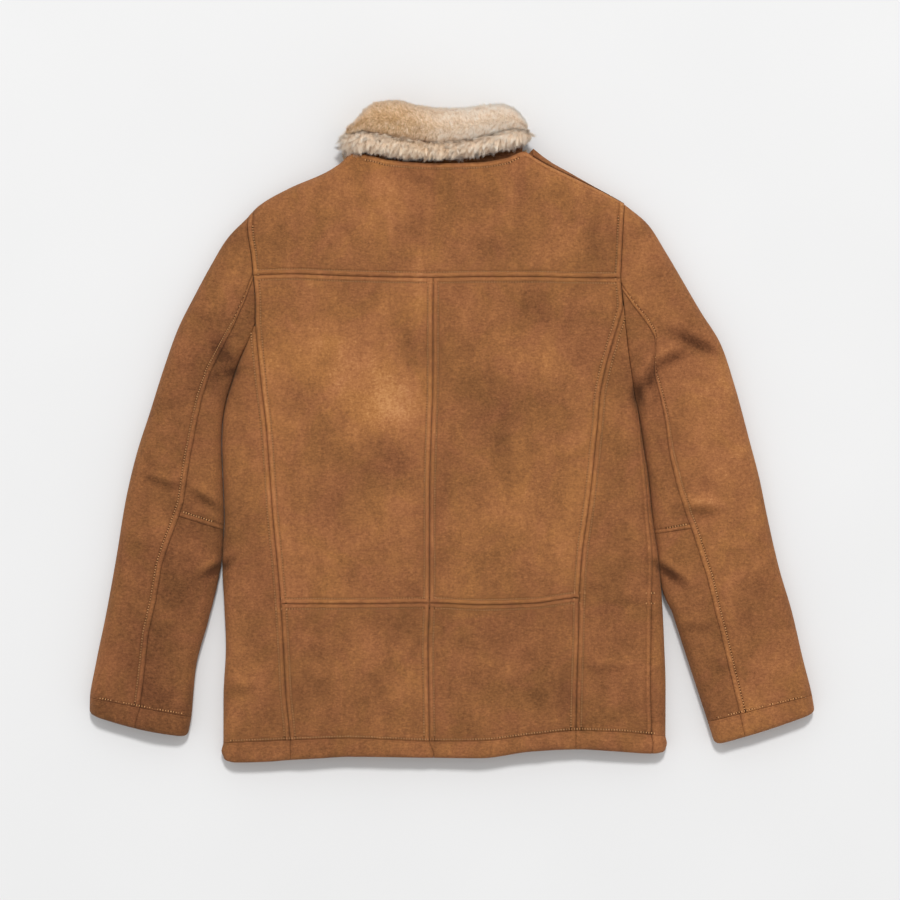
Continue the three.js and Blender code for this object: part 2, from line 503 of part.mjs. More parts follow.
// The part of a side panel on the back, from its seam to the fold's edge, and the part past that edge.
function sidePanel(side, seam, topY, bottomY) {
  const left = side === "left";
  const inward = left ? 1 : -1;
  const foldX = (row) => bodyLine(side, row) + inward * HALF_GAP * (1 - armpitClosed(side, row));
  const levels = heights(topY, bottomY, PITCH);
  const hem = bottomY === HEM_EDGE_Y;
  const place = (x, row, layer, drop) => {
    const inset = row === topY ? -HALF_GAP : row === bottomY ? HALF_GAP : 0;
    const round = hem ? rimDrop(row - bottomY) : 0;
    const y = bodyY(x, row) + inset;
    return layer === "back" ? backPoint(x, y, row, drop + round) : frontPoint(x, y, row, side, round);
  };
  // On the back: shares 0 to 1 from the curved seam to where the fold starts, then round to the edge.
  const endPath = (row) => (left || row > OPEN_END.right ? 0 : sidePath(row));
  const onBack = sheetOf(levels.toReversed(), [0, 0.2, 0.6, 1, 4 / 3, 5 / 3, 2], (step, row) => {
    const seamX = bodyLine(seam, row) - inward * HALF_GAP;
    const far = Math.min(quarterTurn, Math.abs(seamX - foldX(row)) * NARROW_BEND);
    const bend = Math.max(far, endPath(row) + BEND_CLEAR);
    const bendX = foldX(row) + inward * foldReach(bend);
    const round = (length) => place(foldX(row) + inward * foldReach(length), row, "back", 0);
    if (step <= 1) return place(lerp(seamX, bendX, step), row, "back", step === 0 ? SEAM_DIP : 0);
    const path = lerp(bend, endPath(row), step - 1);
    return step === 2 && endPath(row) ? slide(round(path), round(path + 1)) : round(path);
  });
  const sheets = [left ? onBack.map((row) => row.toReversed()) : onBack];
  // Past the fold's edge, on the underside, where this panel is the one that wraps it.
  if (left) {
    const closedRows = levels.toReversed().filter((row) => row <= OPEN_END.left);
    sheets.push(
      sheetOf(closedRows, [1, 0.5, 0], (share, row) => {
        const path = share * sidePath(row);
        const at = (length) => place(foldX(row) + foldReach(length), row, "front", 0);
        return share === 1 ? slide(at(path), at(path - 1)) : at(path);
      }),
    );
  }
  return sheets;
}

// Columns of a front panel: 0 to 1 is round the fold, 1 to 2 is on to the overlap, and the rest lie in it.
const FRONT_COLUMNS = [0, 0.5, ...steps(1, 2, 1 / 5), 3, 4, 5];
const lapMiddle = (LAP.left + LAP.right) / 2;
const lowerStart = LAP.left - LAP_EDGES.lower;
const upperStart = LAP.right + LAP_EDGES.upper;
const LAP_STOPS = {
  left: [lowerStart, lowerStart + LAP_EDGES.lowerEase, lapMiddle, LAP.right],
  right: [upperStart, upperStart - LAP_EDGES.upperEase, lapMiddle, LAP.left],
};

// Half of the coat's front, on the underside, with what goes round a fold to the back.
function frontPanel(side, topY, bottomY) {
  const left = side === "left";
  const inward = left ? 1 : -1;
  const hem = bottomY === HEM_EDGE_Y;
  const stops = LAP_STOPS[side];
  const startPath = (row) => (left && row <= OPEN_END.left ? sidePath(row) : 0);
  const edgeX = (row) => bodyLine(side, row) + inward * HALF_GAP * (1 - armpitClosed(side, row));
  const levelInset = (row) => (row === topY && topY < YOKE_Y ? -HALF_GAP : row === bottomY ? HALF_GAP : 0);
  const rim = (row) => (hem ? rimDrop(row - bottomY) : 0);
  const planX = (column, row) => {
    const bend = Math.max(quarterTurn, startPath(row) + BEND_CLEAR);
    if (column <= 1) return edgeX(row) + inward * foldReach(lerp(startPath(row), bend, column));
    if (column <= 2) return lerp(edgeX(row) + inward * foldReach(bend), stops[0], column - 1);
    return stops[column - 2];
  };
  const under = (x, row) => frontPoint(x, bodyY(x, row) + levelInset(row), row, side, rim(row));
  const over = (path, row) => {
    const x = edgeX(row) + inward * foldReach(path);
    return backPoint(x, bodyY(x, row) + levelInset(row), row, rim(row));
  };
  const body = [...heights(topY, CHEST_Y, CHEST_PITCH), ...heights(CHEST_Y, bottomY, UNDER_PITCH).slice(1)];
  const levels = hem ? [topY, bottomY + RIM_REACH, bottomY] : body;
  const rows = levels.toReversed().map((row) =>
    FRONT_COLUMNS.map((column) => {
      const x = planX(column, row);
      const seam = column === 0 && startPath(row) > 0;
      return seam ? slide(under(x, row), under(x + 1, row)) : under(x, row);
    }),
  );
  const sheets = [];
  if (!hem) {
    rows.push(...chestRows(side, planX));
    if (!left) sheets.push(shoulderStrip(planX));
  }
  sheets.unshift(left ? rows.map((row) => row.toReversed()) : rows);
  if (!left) {
    // The right front goes round its side fold to the side seam on the back.
    const closedRows = levels.toReversed().filter((row) => row <= OPEN_END.right);
    sheets.push(
      sheetOf(closedRows, [1, 0.5, 0], (share, row) => {
        const path = share * sidePath(row);
        return share === 1 ? slide(over(path, row), over(path - 1, row)) : over(path, row);
      }),
    );
  }
  return sheets;
}

// Top of a front panel at a place across: the shoulder's fold, or the neckline between the shoulders.
function frontTop(x) {
  const neck = FRONT_NECK[0].x < x && x < FRONT_NECK.at(-1).x;
  return neck ? lookUp(FRONT_NECK, "x", "y", x) : foldTop(x);
}

// A point of a column at the height that a rule gives from the column's own top.
function columnPlace(planX, rule) {
  let y = YOKE_Y;
  let x = planX(y);
  for (let i = 0; i < 6; i++) {
    y = rule(x);
    x = planX(y);
  }
  return { x, y };
}

// Rows of a front panel from the yoke's height to the shoulder fold and the neckline.
function chestRows(side, planX) {
  const bend = FOLD_R / SHOULDER_COS;
  const rules = [
    ...[0.25, 0.5, 0.75, 1].map((share) => (x) => lerp(YOKE_Y, frontTop(x) - bend, share)),
    ...FOLD_STEPS.toReversed().slice(1).map((path) => (x) => frontTop(x) - foldReach(path) / SHOULDER_COS),
  ];
  return rules.map((rule, i) => {
    const atTop = i === rules.length - 1;
    return FRONT_COLUMNS.map((column) => {
      const { x, y } = columnPlace((row) => planX(column, row), rule);
      const point = frontPoint(x, y, y, side);
      const meetsYoke = atTop && side === "left" && lookUp(TOP_LINE, "x", "closed", x) > 0.5;
      if (meetsYoke) for (const p of Object.values(point)) p.z -= SHOULDER_GAP;
      return point;
    });
  });
}

// Length along the cloth from the shoulder fold's edge to the yoke's own edge, which lies behind the right fold.
function yokePath(x) {
  const reach = (foldTop(x) - lookUp(TOP_LINE, "x", "yoke", x)) * SHOULDER_COS;
  const path = FOLD_R * Math.acos(1 - clamp01(reach / FOLD_R));
  return x > STRIP_FROM ? Math.max(path, SEAM_LEAST) : path;
}

// The strip of the right front that goes over the right shoulder's fold to the yoke.
function shoulderStrip(planX) {
  const columns = FRONT_COLUMNS.filter((column) => planX(column, YOKE_Y) > STRIP_FROM).toReversed();
  const place = (share, column, more = 0) => {
    const rule = (x) => foldTop(x) - foldReach(share * yokePath(x) + more) / SHOULDER_COS;
    const { x, y } = columnPlace((row) => planX(column, row), rule);
    return backPoint(x, y, y);
  };
  return sheetOf([1, 0.5, 0], columns, (column, share) => {
    const point = place(share, column);
    return share === 1 ? slide(point, place(share, column, -1), SHOULDER_GAP) : point;
  });
}

// Columns across the yoke, as shares between the armholes, with one at each row of TOP_LINE.
function yokeShares() {
  const [from, to] = [TOP_LINE[0].x, TOP_LINE.at(-1).x];
  const shares = TOP_LINE.map((row) => (row.x - from) / (to - from));
  const pitch = PITCH / (to - from);
  return shares.flatMap((share, i) => (i ? steps(shares[i - 1], share, pitch).slice(1) : [share]));
}

function yokePanel() {
  const shares = yokeShares();
  const seamY = (x) => bodyY(x, YOKE_Y) + HALF_GAP;
  const bendY = (x) => foldTop(x) - FOLD_R / SHOULDER_COS;
  const place = (share, rule) => {
    const edge = (side, y) => bodyLine(side, y) + (side === "left" ? HALF_GAP : -HALF_GAP);
    const { x, y } = columnPlace((row) => lerp(edge("left", row), edge("right", row), share), rule);
    const open = 1 - lookUp(TOP_LINE, "x", "closed", x);
    const drop = seamDrop(y - seamY(x)) + open * rimDrop(lookUp(TOP_LINE, "x", "yoke", x) - y);
    return { x, open, point: backPoint(x, y, y, drop) };
  };
  const rules = [
    seamY,
    (x) => seamY(x) + SEAM_EASE,
    ...[0.25, 0.5, 0.75, 1].map((up) => (x) => lerp(seamY(x) + SEAM_EASE, bendY(x), up)),
  ];
  const rows = rules.map((rule) => shares.map((share) => place(share, rule).point));
  const foldRule = (t, more = 0) => (x) =>
    foldTop(x) - foldReach(lerp(yokePath(x), quarterTurn, t) + more) / SHOULDER_COS;
  for (const t of [2 / 3, 1 / 3, 0])
    rows.push(
      shares.map((share) => {
        const { x, open, point } = place(share, foldRule(t));
        if (t > 0) return point;
        if (x > STRIP_FROM) return slide(point, place(share, foldRule(t, 1)).point, SHOULDER_GAP);
        if (open < 0.5) for (const p of Object.values(point)) p.z += SHOULDER_GAP;
        return point;
      }),
    );
  return [rows];
}

// A sleeve's line across at a place between two rows of its table.
function sleeveLine(side, at) {
  const table = SLEEVES[side].map((row, i) => ({ ...row, i }));
  const get = (column) => lookUp(table, "i", column, at);
  const outward = side === "left" ? -1 : 1;
  const innerY = get("innerY");
  const beside = bodyLine(side, innerY) + outward * SLEEVE_GAP;
  const innerX = innerY > BESIDE_END[side] && at > 0 ? beside : get("innerX");
  const outer = new THREE.Vector2(get("outerX"), get("outerY"));
  const inner = new THREE.Vector2(innerX, innerY);
  const along = inner.clone().sub(outer);
  // How square the line is to a fold, from the fold's run half a row to each side.
  const square = (name) => {
    const run = (to) => new THREE.Vector2(lookUp(table, "i", name + "X", to), lookUp(table, "i", name + "Y", to));
    const fold = run(at + 0.5).sub(run(at - 0.5)).normalize();
    return Math.max(SQUARE_LEAST, Math.abs(along.clone().normalize().cross(fold)));
  };
  return {
    outer,
    along,
    width: along.length(),
    seam: get("seam"),
    sag: get("sag"),
    atArmhole: at === 0,
    squareOuter: square("outer"),
    squareInner: square("inner"),
    closed: armpitClosed(side, innerY),
  };
}

// Plan of a point of the sleeve at a distance from the outer fold along such a line.
function sleevePlan(side, line, reach) {
  const share = reach / line.width;
  const p = line.outer.clone().addScaledVector(line.along, share);
  p.y -= line.sag * Math.sin(Math.PI * clamp01(share));
  const clear = ARMHOLE_GAP + (SLEEVE_GAP - ARMHOLE_GAP) * armpitClosed(side, p.y);
  if (line.atArmhole) p.x = bodyLine(side, p.y) + (side === "left" ? -clear : clear);
  return p;
}

// Outer and inner point of a sleeve's wall, on the back or the underside.
function sleevePoint(side, line, reach, layer, at, drop = 0) {
  const outerFold = foldShape({ depth: reach * line.squareOuter, closed: 1 });
  const innerFold = foldShape({ depth: (line.width - reach) * line.squareInner, closed: line.closed });
  const flat = outerFold.flat * innerFold.flat;
  const p = sleevePlan(side, line, reach);
  const shift = WALL * (outerFold.into / line.squareOuter - innerFold.into / line.squareInner);
  const inside = sleevePlan(side, line, reach + shift);
  const up = layer === "back" ? 1 : -1;
  const q = (reach / line.width) * 2 - 1;
  const crown = up > 0 ? SLEEVE_CROWN * (1 - q ** 4) * smooth(at / 2) : 0;
  const relief = (up > 0 ? creaseDepth(p.x, p.y) : 0) + drop;
  return {
    outer: vec(p.x, p.y, FOLD_R + up * (FOLD_R * flat + (crown - relief) * flat)),
    inner: vec(inside.x, inside.y, FOLD_R + up * SLIT_R * flat),
  };
}

// One piece of a sleeve between two rows of its table: the outer or the under side of the back seam.
function sleevePiece(side, part, from, to) {
  const left = side === "left";
  const coarse = steps(from, Math.max(from, Math.min(to, SLEEVE_FINE)), 1);
  const fine = steps(Math.max(from, SLEEVE_FINE), to, 0.5);
  const rows = [...new Set([...coarse, ...fine])].filter((at) => at >= from && at <= to);
  const last = SLEEVES[side].length - 1;
  const atSeam = (at) => (at === from && from > 0) || (at === to && to < last);
  const gapShare = (at) => (atSeam(at) ? Math.sign((from + to) / 2 - at) * ROW_GAP : 0);
  const rim = (at) => (to === last ? rimDrop((last - at) * END_ROW) : 0);
  const place = (at, reachOf, layer, drop) => {
    const line = sleeveLine(side, at + gapShare(at));
    if (at === 0) line.atArmhole = true;
    return sleevePoint(side, line, reachOf(line), layer, at, drop + rim(at));
  };
  const outerSide = part === "outer";
  const fold = (line, path) =>
    outerSide ? foldReach(path) / line.squareOuter : line.width - foldReach(path) / line.squareInner;
  const seamReach = (line) => line.seam * line.width + (outerSide ? -HALF_GAP : HALF_GAP);
  const bend = (line) => fold(line, quarterTurn);
  // Back: 0 to 1 is round the fold, 1 to 2 is on to the back seam.
  const onBack = rows.map((at) =>
    [0, 1 / 3, 2 / 3, 1, 4 / 3, 5 / 3, 1.9, 2].map((t) =>
      place(
        at,
        (line) => (t <= 1 ? fold(line, t * quarterTurn) : lerp(bend(line), seamReach(line), t - 1)),
        "back",
        t === 2 || atSeam(at) ? SEAM_DIP : 0,
      ),
    ),
  );
  // Underside: the same fold, then on to the front seam.
  const frontReach = (line) => {
    const fromFold = Math.max(FRONT_SEAM_IN, FOLD_R / line.squareInner + BEND_CLEAR);
    return line.width - fromFold + (outerSide ? -HALF_GAP : HALF_GAP);
  };
  const beneath = rows.map((at) =>
    (outerSide ? [0, 0.5, 1, 4 / 3, 5 / 3, 2] : [0, 0.5, 1, 2]).map((t) =>
      place(
        at,
        (line) => (t <= 1 ? fold(line, t * quarterTurn) : lerp(bend(line), frontReach(line), t - 1)),
        "front",
        0,
      ),
    ),
  );
  // Rows run towards the hand, so they go up in the plan once reversed. On the left the outer fold is the left edge.
  const foldAtLeft = left === outerSide;
  const backRows = foldAtLeft ? onBack : onBack.map((row) => row.toReversed());
  const frontRows = foldAtLeft ? beneath.map((row) => row.toReversed()) : beneath;
  return [backRows.toReversed(), frontRows.toReversed()];
}

// Column of the collar's table at a place along it.
const collarAt = (x, name) => lookUp(COLLAR_LINES, "x", name, x);

// Part of an ellipse as points across and up: angles in degrees, 0 towards the collar's crest and 90 up.
function bow(centreY, centreZ, radiusY, radiusZ, from, to, count) {
  return steps(from, to, Math.abs(to - from) / count).map((degrees) => {
    const a = THREE.MathUtils.degToRad(degrees);
    return [centreY + radiusY * Math.cos(a), centreZ + radiusZ * Math.sin(a)];
  });
}

// Where the stand ends on the underside, and the wool roll goes on from it.
function standEnd(x) {
  const [crease, crest] = [collarAt(x, "crease"), collarAt(x, "crest")];
  const centre = crest - Math.min((ROLL_TOP * collarAt(x, "size")) / 2, (crest - crease) * ROLL_SHARE);
  return lerp(crease, centre, STAND_SHARE);
}

function fallSection(x) {
  const [crease, crest, size] = ["crease", "crest", "size"].map((name) => collarAt(x, name));
  const depth = crest - crease;
  const top = ROLL_TOP * size;
  const turn = Math.min(top / 2, depth * ROLL_SHARE);
  const centre = crest - turn;
  const hollow = turn * HOLLOW_SHARE;
  const [floor, gap] = [STAND_TOP * size, FUR_GAP * size];
  const creaseZ = Math.min(CREASE_TOP * size, top - 2);
  const seam = standEnd(x) + 2 * HALF_GAP;
  return [
    [crease + HALF_GAP, floor + gap],
    [centre, floor + gap],
    ...bow(centre, floor + gap / 2, hollow, gap / 2, 60, -60, 2),
    [centre, floor],
    [seam, floor],
    [seam, 0],
    ...bow(centre, top / 2, turn, top / 2, -90, 90, 8),
    [lerp(crease, centre, SHOULDER_SHARE), top - gap / 2],
    [crease + HALF_GAP, creaseZ],
  ];
}

function edgeSection(x) {
  const [lower, crease, size] = ["lower", "crease", "size"].map((name) => collarAt(x, name));
  const floor = (STAND_TOP + FUR_GAP) * size;
  const half = (EDGE_TOP * size - floor) / 2;
  const middle = lerp(lower, crease, 0.5);
  return [
    [crease - HALF_GAP, floor],
    [crease - HALF_GAP, Math.min(CREASE_TOP, EDGE_TOP - 2) * size],
    [lerp(middle, crease, 0.5), EDGE_TOP * size - SEAM_DIP],
    ...bow(middle, floor + half, middle - lower, half, 90, 270, 6),
  ];
}

function standSection(x) {
  const size = collarAt(x, "size");
  const neck = lookUp(TOP_LINE, "x", "yoke", x) + 2 * HALF_GAP;
  const end = standEnd(x);
  const lift = leafLift(x, neck);
  const top = STAND_TOP * size - 2 * HALF_GAP;
  const edge = 2 * FOLD_R + lift - RIM_ROUND;
  return [
    [neck, FOLD_R + SLIT_R + lift],
    [neck + STAND_FOOT, FOLD_R - 1],
    [end - SLIT, 0],
    [end, 0],
    [end, top],
    [neck + STAND_FOOT + 1, top],
    [neck + STAND_FOOT / 2, lerp(top, edge, 0.5)],
    [neck, edge - 1],
  ];
}

function collarPiece(section, ends) {
  const inside = COLLAR_LINES.map((row) => row.x).filter((x) => x > ends.left && x < ends.right);
  const stops = [ends.left, ...inside, ends.right];
  const rings = stops
    .flatMap((x, i) => (i ? steps(stops[i - 1], x, COLLAR_PITCH).slice(1) : [x]))
    .map((x) => section(x).map(([y, z]) => vec(x, y, z)));
  return loft(rings, (p) => new THREE.Vector2(p.y, p.z));
}

// Front end of the collar, flat on the floor under its front: from the neckline out to the collar's edge.
const LEAVES = {
  left: { neckX: -104, neckY: 347, edgeX: -141, edgeY: 357, endX: -24, endY: 288, pointX: -72, pointY: 226 },
  right: { neckX: 74, neckY: 351, edgeX: 96, edgeY: 362, endX: -2, endY: 288, pointX: 46, pointY: 226 },
};

const LEAF_ROUND = 3; // rounding of its edges
const LEAF_BOW = { out: 12, down: 7.2 }; // how far its free edge bows

function collarLeaf(side) {
  const leaf = LEAVES[side];
  const round = (share) => LEAF_ROUND * (2 * share - 1) ** 6;
  const rows = steps(0, 1, 0.125).map((t) =>
    steps(0, 1, 0.25).map((s) => {
      const bowOut = Math.sin(Math.PI * t) * LEAF_BOW.out * s;
      const sign = side === "left" ? -1 : 1;
      const x = lerp(lerp(leaf.neckX, leaf.edgeX, s), lerp(leaf.endX, leaf.pointX, s), t) + sign * bowOut;
      const bowDown = Math.sin(Math.PI * t) * LEAF_BOW.down * s;
      const y = lerp(lerp(leaf.neckY, leaf.edgeY, s), lerp(leaf.endY, leaf.pointY, s), t) - bowDown;
      const edge = round(s) + round(t) / 2;
      return { outer: vec(x, y, 0), inner: vec(x, y, LEAF_THICK - edge) };
    }),
  );
  return thicken([side === "left" ? rows.map((row) => row.toReversed()) : rows]);
}

// A plain flat button with four holes, face down.
function buttonGeometry() {
  const ring = (x, y, radius, sides) =>
    Array.from({ length: sides }, (_, i) => {
      const a = (i / sides) * 2 * Math.PI;
      return new THREE.Vector2(x + radius * Math.cos(a), y + radius * Math.sin(a));
    });
  const disc = new THREE.Shape(ring(0, 0, BUTTON_R, BUTTON_SIDES));
  for (const [x, y] of [[1, 1], [-1, 1], [-1, -1], [1, -1]])
    disc.holes.push(new THREE.Path(ring(x * HOLE_OUT, y * HOLE_OUT, HOLE_R, HOLE_SIDES)));
  return new THREE.ExtrudeGeometry(disc, { depth: BUTTON_THICK, bevelEnabled: false });
}

function toSolid(geometry) {
  const bare = geometry.clone();
  bare.deleteAttribute("normal");
  bare.deleteAttribute("uv");
  const merged = mergeVertices(bare, 1e-4);
  const [vertProperties, triVerts] = [merged.attributes.position.array, new Uint32Array(merged.index.array)];
  return new wasm.Manifold(new wasm.Mesh({ numProp: 3, vertProperties, triVerts }));
}

// The geometry less a round pocket, open below, for each button.
function withPockets(geometry) {
  let solid = toSolid(geometry);
  for (const { y } of BUTTONS) {
    const radius = BUTTON_R + POCKET_CLEAR;
    const pocket = new THREE.CylinderGeometry(radius, radius, POCKET_DEEP, POCKET_SIDES);
    pocket.rotateX(Math.PI / 2);
    pocket.translate(BUTTON_X, y, BUTTON_THICK + POCKET_CLEAR - POCKET_DEEP / 2);
    solid = solid.subtract(toSolid(pocket));
  }
  const mesh = solid.getMesh();
  const geometryOut = new THREE.BufferGeometry();
  geometryOut.setAttribute("position", new THREE.BufferAttribute(mesh.vertProperties, 3));
  geometryOut.setIndex(new THREE.BufferAttribute(mesh.triVerts, 1));
  return geometryOut;
}

addPiece("back_yoke", thicken(yokePanel()), SUEDE);
addPiece("back_upper_left", thicken([backPanel("princessLeft", "centre", YOKE_Y, WAIST_Y)]), SUEDE);
addPiece("back_upper_right", thicken([backPanel("centre", "princessRight", YOKE_Y, WAIST_Y)]), SUEDE);
addPiece("back_lower_left", thicken([backPanel("princessLeft", "centre", WAIST_Y, HEM_SEAM_Y)]), SUEDE);
addPiece("back_lower_right", thicken([backPanel("centre", "princessRight", WAIST_Y, HEM_SEAM_Y)]), SUEDE);
addPiece("back_side_left", thicken(sidePanel("left", "princessLeft", SIDE_TOP.left, HEM_SEAM_Y)), SUEDE);
addPiece("back_side_right", thicken(sidePanel("right", "princessRight", SIDE_TOP.right, HEM_SEAM_Y)), SUEDE);
addPiece("front_left", withPockets(thicken(frontPanel("left", YOKE_Y, HEM_SEAM_Y))), SUEDE);
addPiece("front_right", thicken(frontPanel("right", YOKE_Y, HEM_SEAM_Y)), SUEDE);

addPiece("hem_back_left", thicken([backPanel("princessLeft", "centre", HEM_SEAM_Y, HEM_EDGE_Y)]), SUEDE);
addPiece("hem_back_right", thicken([backPanel("centre", "princessRight", HEM_SEAM_Y, HEM_EDGE_Y)]), SUEDE);
addPiece("hem_back_side_left", thicken(sidePanel("left", "princessLeft", HEM_SEAM_Y, HEM_EDGE_Y)), SUEDE);
addPiece("hem_back_side_right", thicken(sidePanel("right", "princessRight", HEM_SEAM_Y, HEM_EDGE_Y)), SUEDE);
addPiece("hem_front_left", thicken(frontPanel("left", HEM_SEAM_Y, HEM_EDGE_Y)), SUEDE);
addPiece("hem_front_right", thicken(frontPanel("right", HEM_SEAM_Y, HEM_EDGE_Y)), SUEDE);

for (const side of ["left", "right"]) {
  const [elbow, cuff, end] = [ELBOW[side], CUFF[side], SLEEVES[side].length - 1];
  addPiece(`sleeve_${side}_outer`, thicken(sleevePiece(side, "outer", 0, cuff)), SUEDE);
  addPiece(`sleeve_${side}_under_upper`, thicken(sleevePiece(side, "under", 0, elbow)), SUEDE);
  addPiece(`sleeve_${side}_under_lower`, thicken(sleevePiece(side, "under", elbow, cuff)), SUEDE);
  addPiece(`cuff_${side}_outer`, thicken(sleevePiece(side, "outer", cuff, end)), SUEDE);
  addPiece(`cuff_${side}_under`, thicken(sleevePiece(side, "under", cuff, end)), SUEDE);
  addPiece(`collar_front_${side}`, collarLeaf(side), WOOL);
}

addPiece("collar_stand", collarPiece(standSection, STAND_ENDS), SUEDE);
addPiece("collar_fall", collarPiece(fallSection, ROLL_END), WOOL);
addPiece("collar_edge", collarPiece(edgeSection, EDGE_END), WOOL);

BUTTONS.forEach(({ y }, i) => {
  const button = addPiece(`button_${i + 1}`, buttonGeometry(), HORN);
  button.position.set(BUTTON_X, y, 0);
});

export default coat;
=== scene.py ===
"""A shearling coat laid flat with its back up: suede panels, stitched seams and a fur collar.

Sizes in the tables are millimetres, with +Y towards the collar, +X towards the wearer's right and +Z up.
"""

import math

import bmesh
import bpy
import numpy as np
from mathutils import Matrix, Vector


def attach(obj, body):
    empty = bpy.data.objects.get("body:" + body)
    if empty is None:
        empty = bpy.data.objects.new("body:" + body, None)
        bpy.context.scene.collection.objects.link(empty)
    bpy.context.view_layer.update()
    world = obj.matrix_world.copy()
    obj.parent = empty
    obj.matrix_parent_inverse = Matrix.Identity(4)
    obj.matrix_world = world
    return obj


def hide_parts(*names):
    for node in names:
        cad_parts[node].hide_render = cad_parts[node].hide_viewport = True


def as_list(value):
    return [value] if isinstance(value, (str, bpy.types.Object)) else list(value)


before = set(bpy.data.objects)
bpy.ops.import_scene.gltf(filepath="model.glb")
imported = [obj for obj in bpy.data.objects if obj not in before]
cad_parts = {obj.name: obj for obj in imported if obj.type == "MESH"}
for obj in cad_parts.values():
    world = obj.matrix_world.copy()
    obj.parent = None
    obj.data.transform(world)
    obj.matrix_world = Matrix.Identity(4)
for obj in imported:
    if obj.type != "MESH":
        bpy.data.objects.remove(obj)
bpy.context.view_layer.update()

MM = 0.001
WALL = 13  # skin and clipped wool
SLIT = 3  # air between the back and the front
FOLD_R = WALL + SLIT / 2  # outside of a side, shoulder or sleeve fold
SLIT_R = SLIT / 2
QUARTER = FOLD_R * math.pi / 2  # length round a quarter of a fold
HALF_GAP = 0.15  # each piece's share of the gap at a seam
SLEEVE_GAP = 0.4  # a sleeve to the body, at the armhole and beside the side fold
SHOULDER_GAP = 1.1  # each piece's share of the gap at the shoulder seams
PITCH = 4  # largest step between points of what shows
SEAM_NEAR = np.array([0, 0.5, 1.1, 1.9, 2.8, 3.8, 4.8, 5.6, 6.2, 6.8, 7.6, 9.4, 12])  # and their places by a seam
RING_STEP = 2.5  # largest step along the collar
YOKE_WIDE = 476  # nominal, for the spacing of its columns
ROLL_R = WALL / 2  # radius of a turned edge at the hem and cuffs
RIM_ROUND, RIM_REACH = 4, 9  # rounding of the yoke's neck edge

YOKE_Y, WAIST_Y, HEM_SEAM_Y, HEM_EDGE_Y = 197, -219, -393, -418
YOKE_FADE = 60  # height over which the yoke seam's strays fade out upwards
SHOULDER_FROM = YOKE_Y + 20  # above this height the nearest fold is the shoulder's
SIDE_TOP = {"left": 133, "right": 162}  # the curved back seams meet the armholes here
OPEN_TOP = {"left": 122, "right": 62}  # the armpit starts to close here
OPEN_END = {"left": 92, "right": 30}  # and is a closed fold from here down
BODY_CROWN, SLEEVE_CROWN = 6, 4  # rise of the back towards the middle of its width
CROWN_END = {"y": YOKE_Y + 171, "ease": 60}
LEAF_THICK = 10  # front ends of the collar, which lie under the fronts
LEAF_LIFT = LEAF_THICK + 0.4
LEAF_RAMP = {"middle_x": -22, "out_x": 211, "low_y": 138, "width": 90}
LAP = {"left": -42, "right": 18}  # edges of the overlap of the fronts, whose walls are clipped thinner there
LAP_WALL = 9
LAP_LIFT = LAP_WALL + 0.3
LAP_RISE = LAP_LIFT + LAP_WALL - WALL
LAP_EDGES = {"upper": 9, "upper_ease": 7.5, "lower": 3.5, "lower_ease": 3}
LAP_SWELL = {"from": -76, "to": 52, "ease": 26, "neck_y": 330, "neck_ease": 30}
BEND_CLEAR, SEAM_LEAST, NARROW_BEND = 6, 2, 0.6  # room between a fold's bend and a seam
STRIP_FROM = 96  # from here outwards the right shoulder strip shows behind the fold
SHOULDER_COS = 0.87  # of the shoulders' slope
FRONT_SEAM_IN = 34  # hidden seam of a sleeve, in from its inner fold
SQUARE_LEAST = 0.35  # a sleeve's lines cross its folds at no smaller sine

STITCH = 3.4  # from one stitch to the next
TWIN = 6.6  # row of stitches to its seam
SLEEVE_TWIN = 7.2  # the same on the sleeves
RIM_ROW = 7.2  # row of stitches to the yoke's neck edge
ROW_TOP = {"left": 264, "right": 276}  # upper ends of the rows along the armholes
ROW_ENDS = {"yoke": (-250, 212), "waist": (-284, 262), "hem": (-284, 266)}
NECK_ROW = {"start": -112, "length": 204}
EDGE_ROW = 2.4  # row of stitches above the hem and cuff bands
FAR = 99  # a distance at which a seam has no effect
JOIN = 0.02  # points closer than this become one
HEM_LIFT, UNDER_SHADE = 0.06, -0.06  # tone of the hem band and of the underside


def columns(names, *rows):
    """A table's columns by name."""
    return dict(zip(names.split(), np.array(rows, float).T))


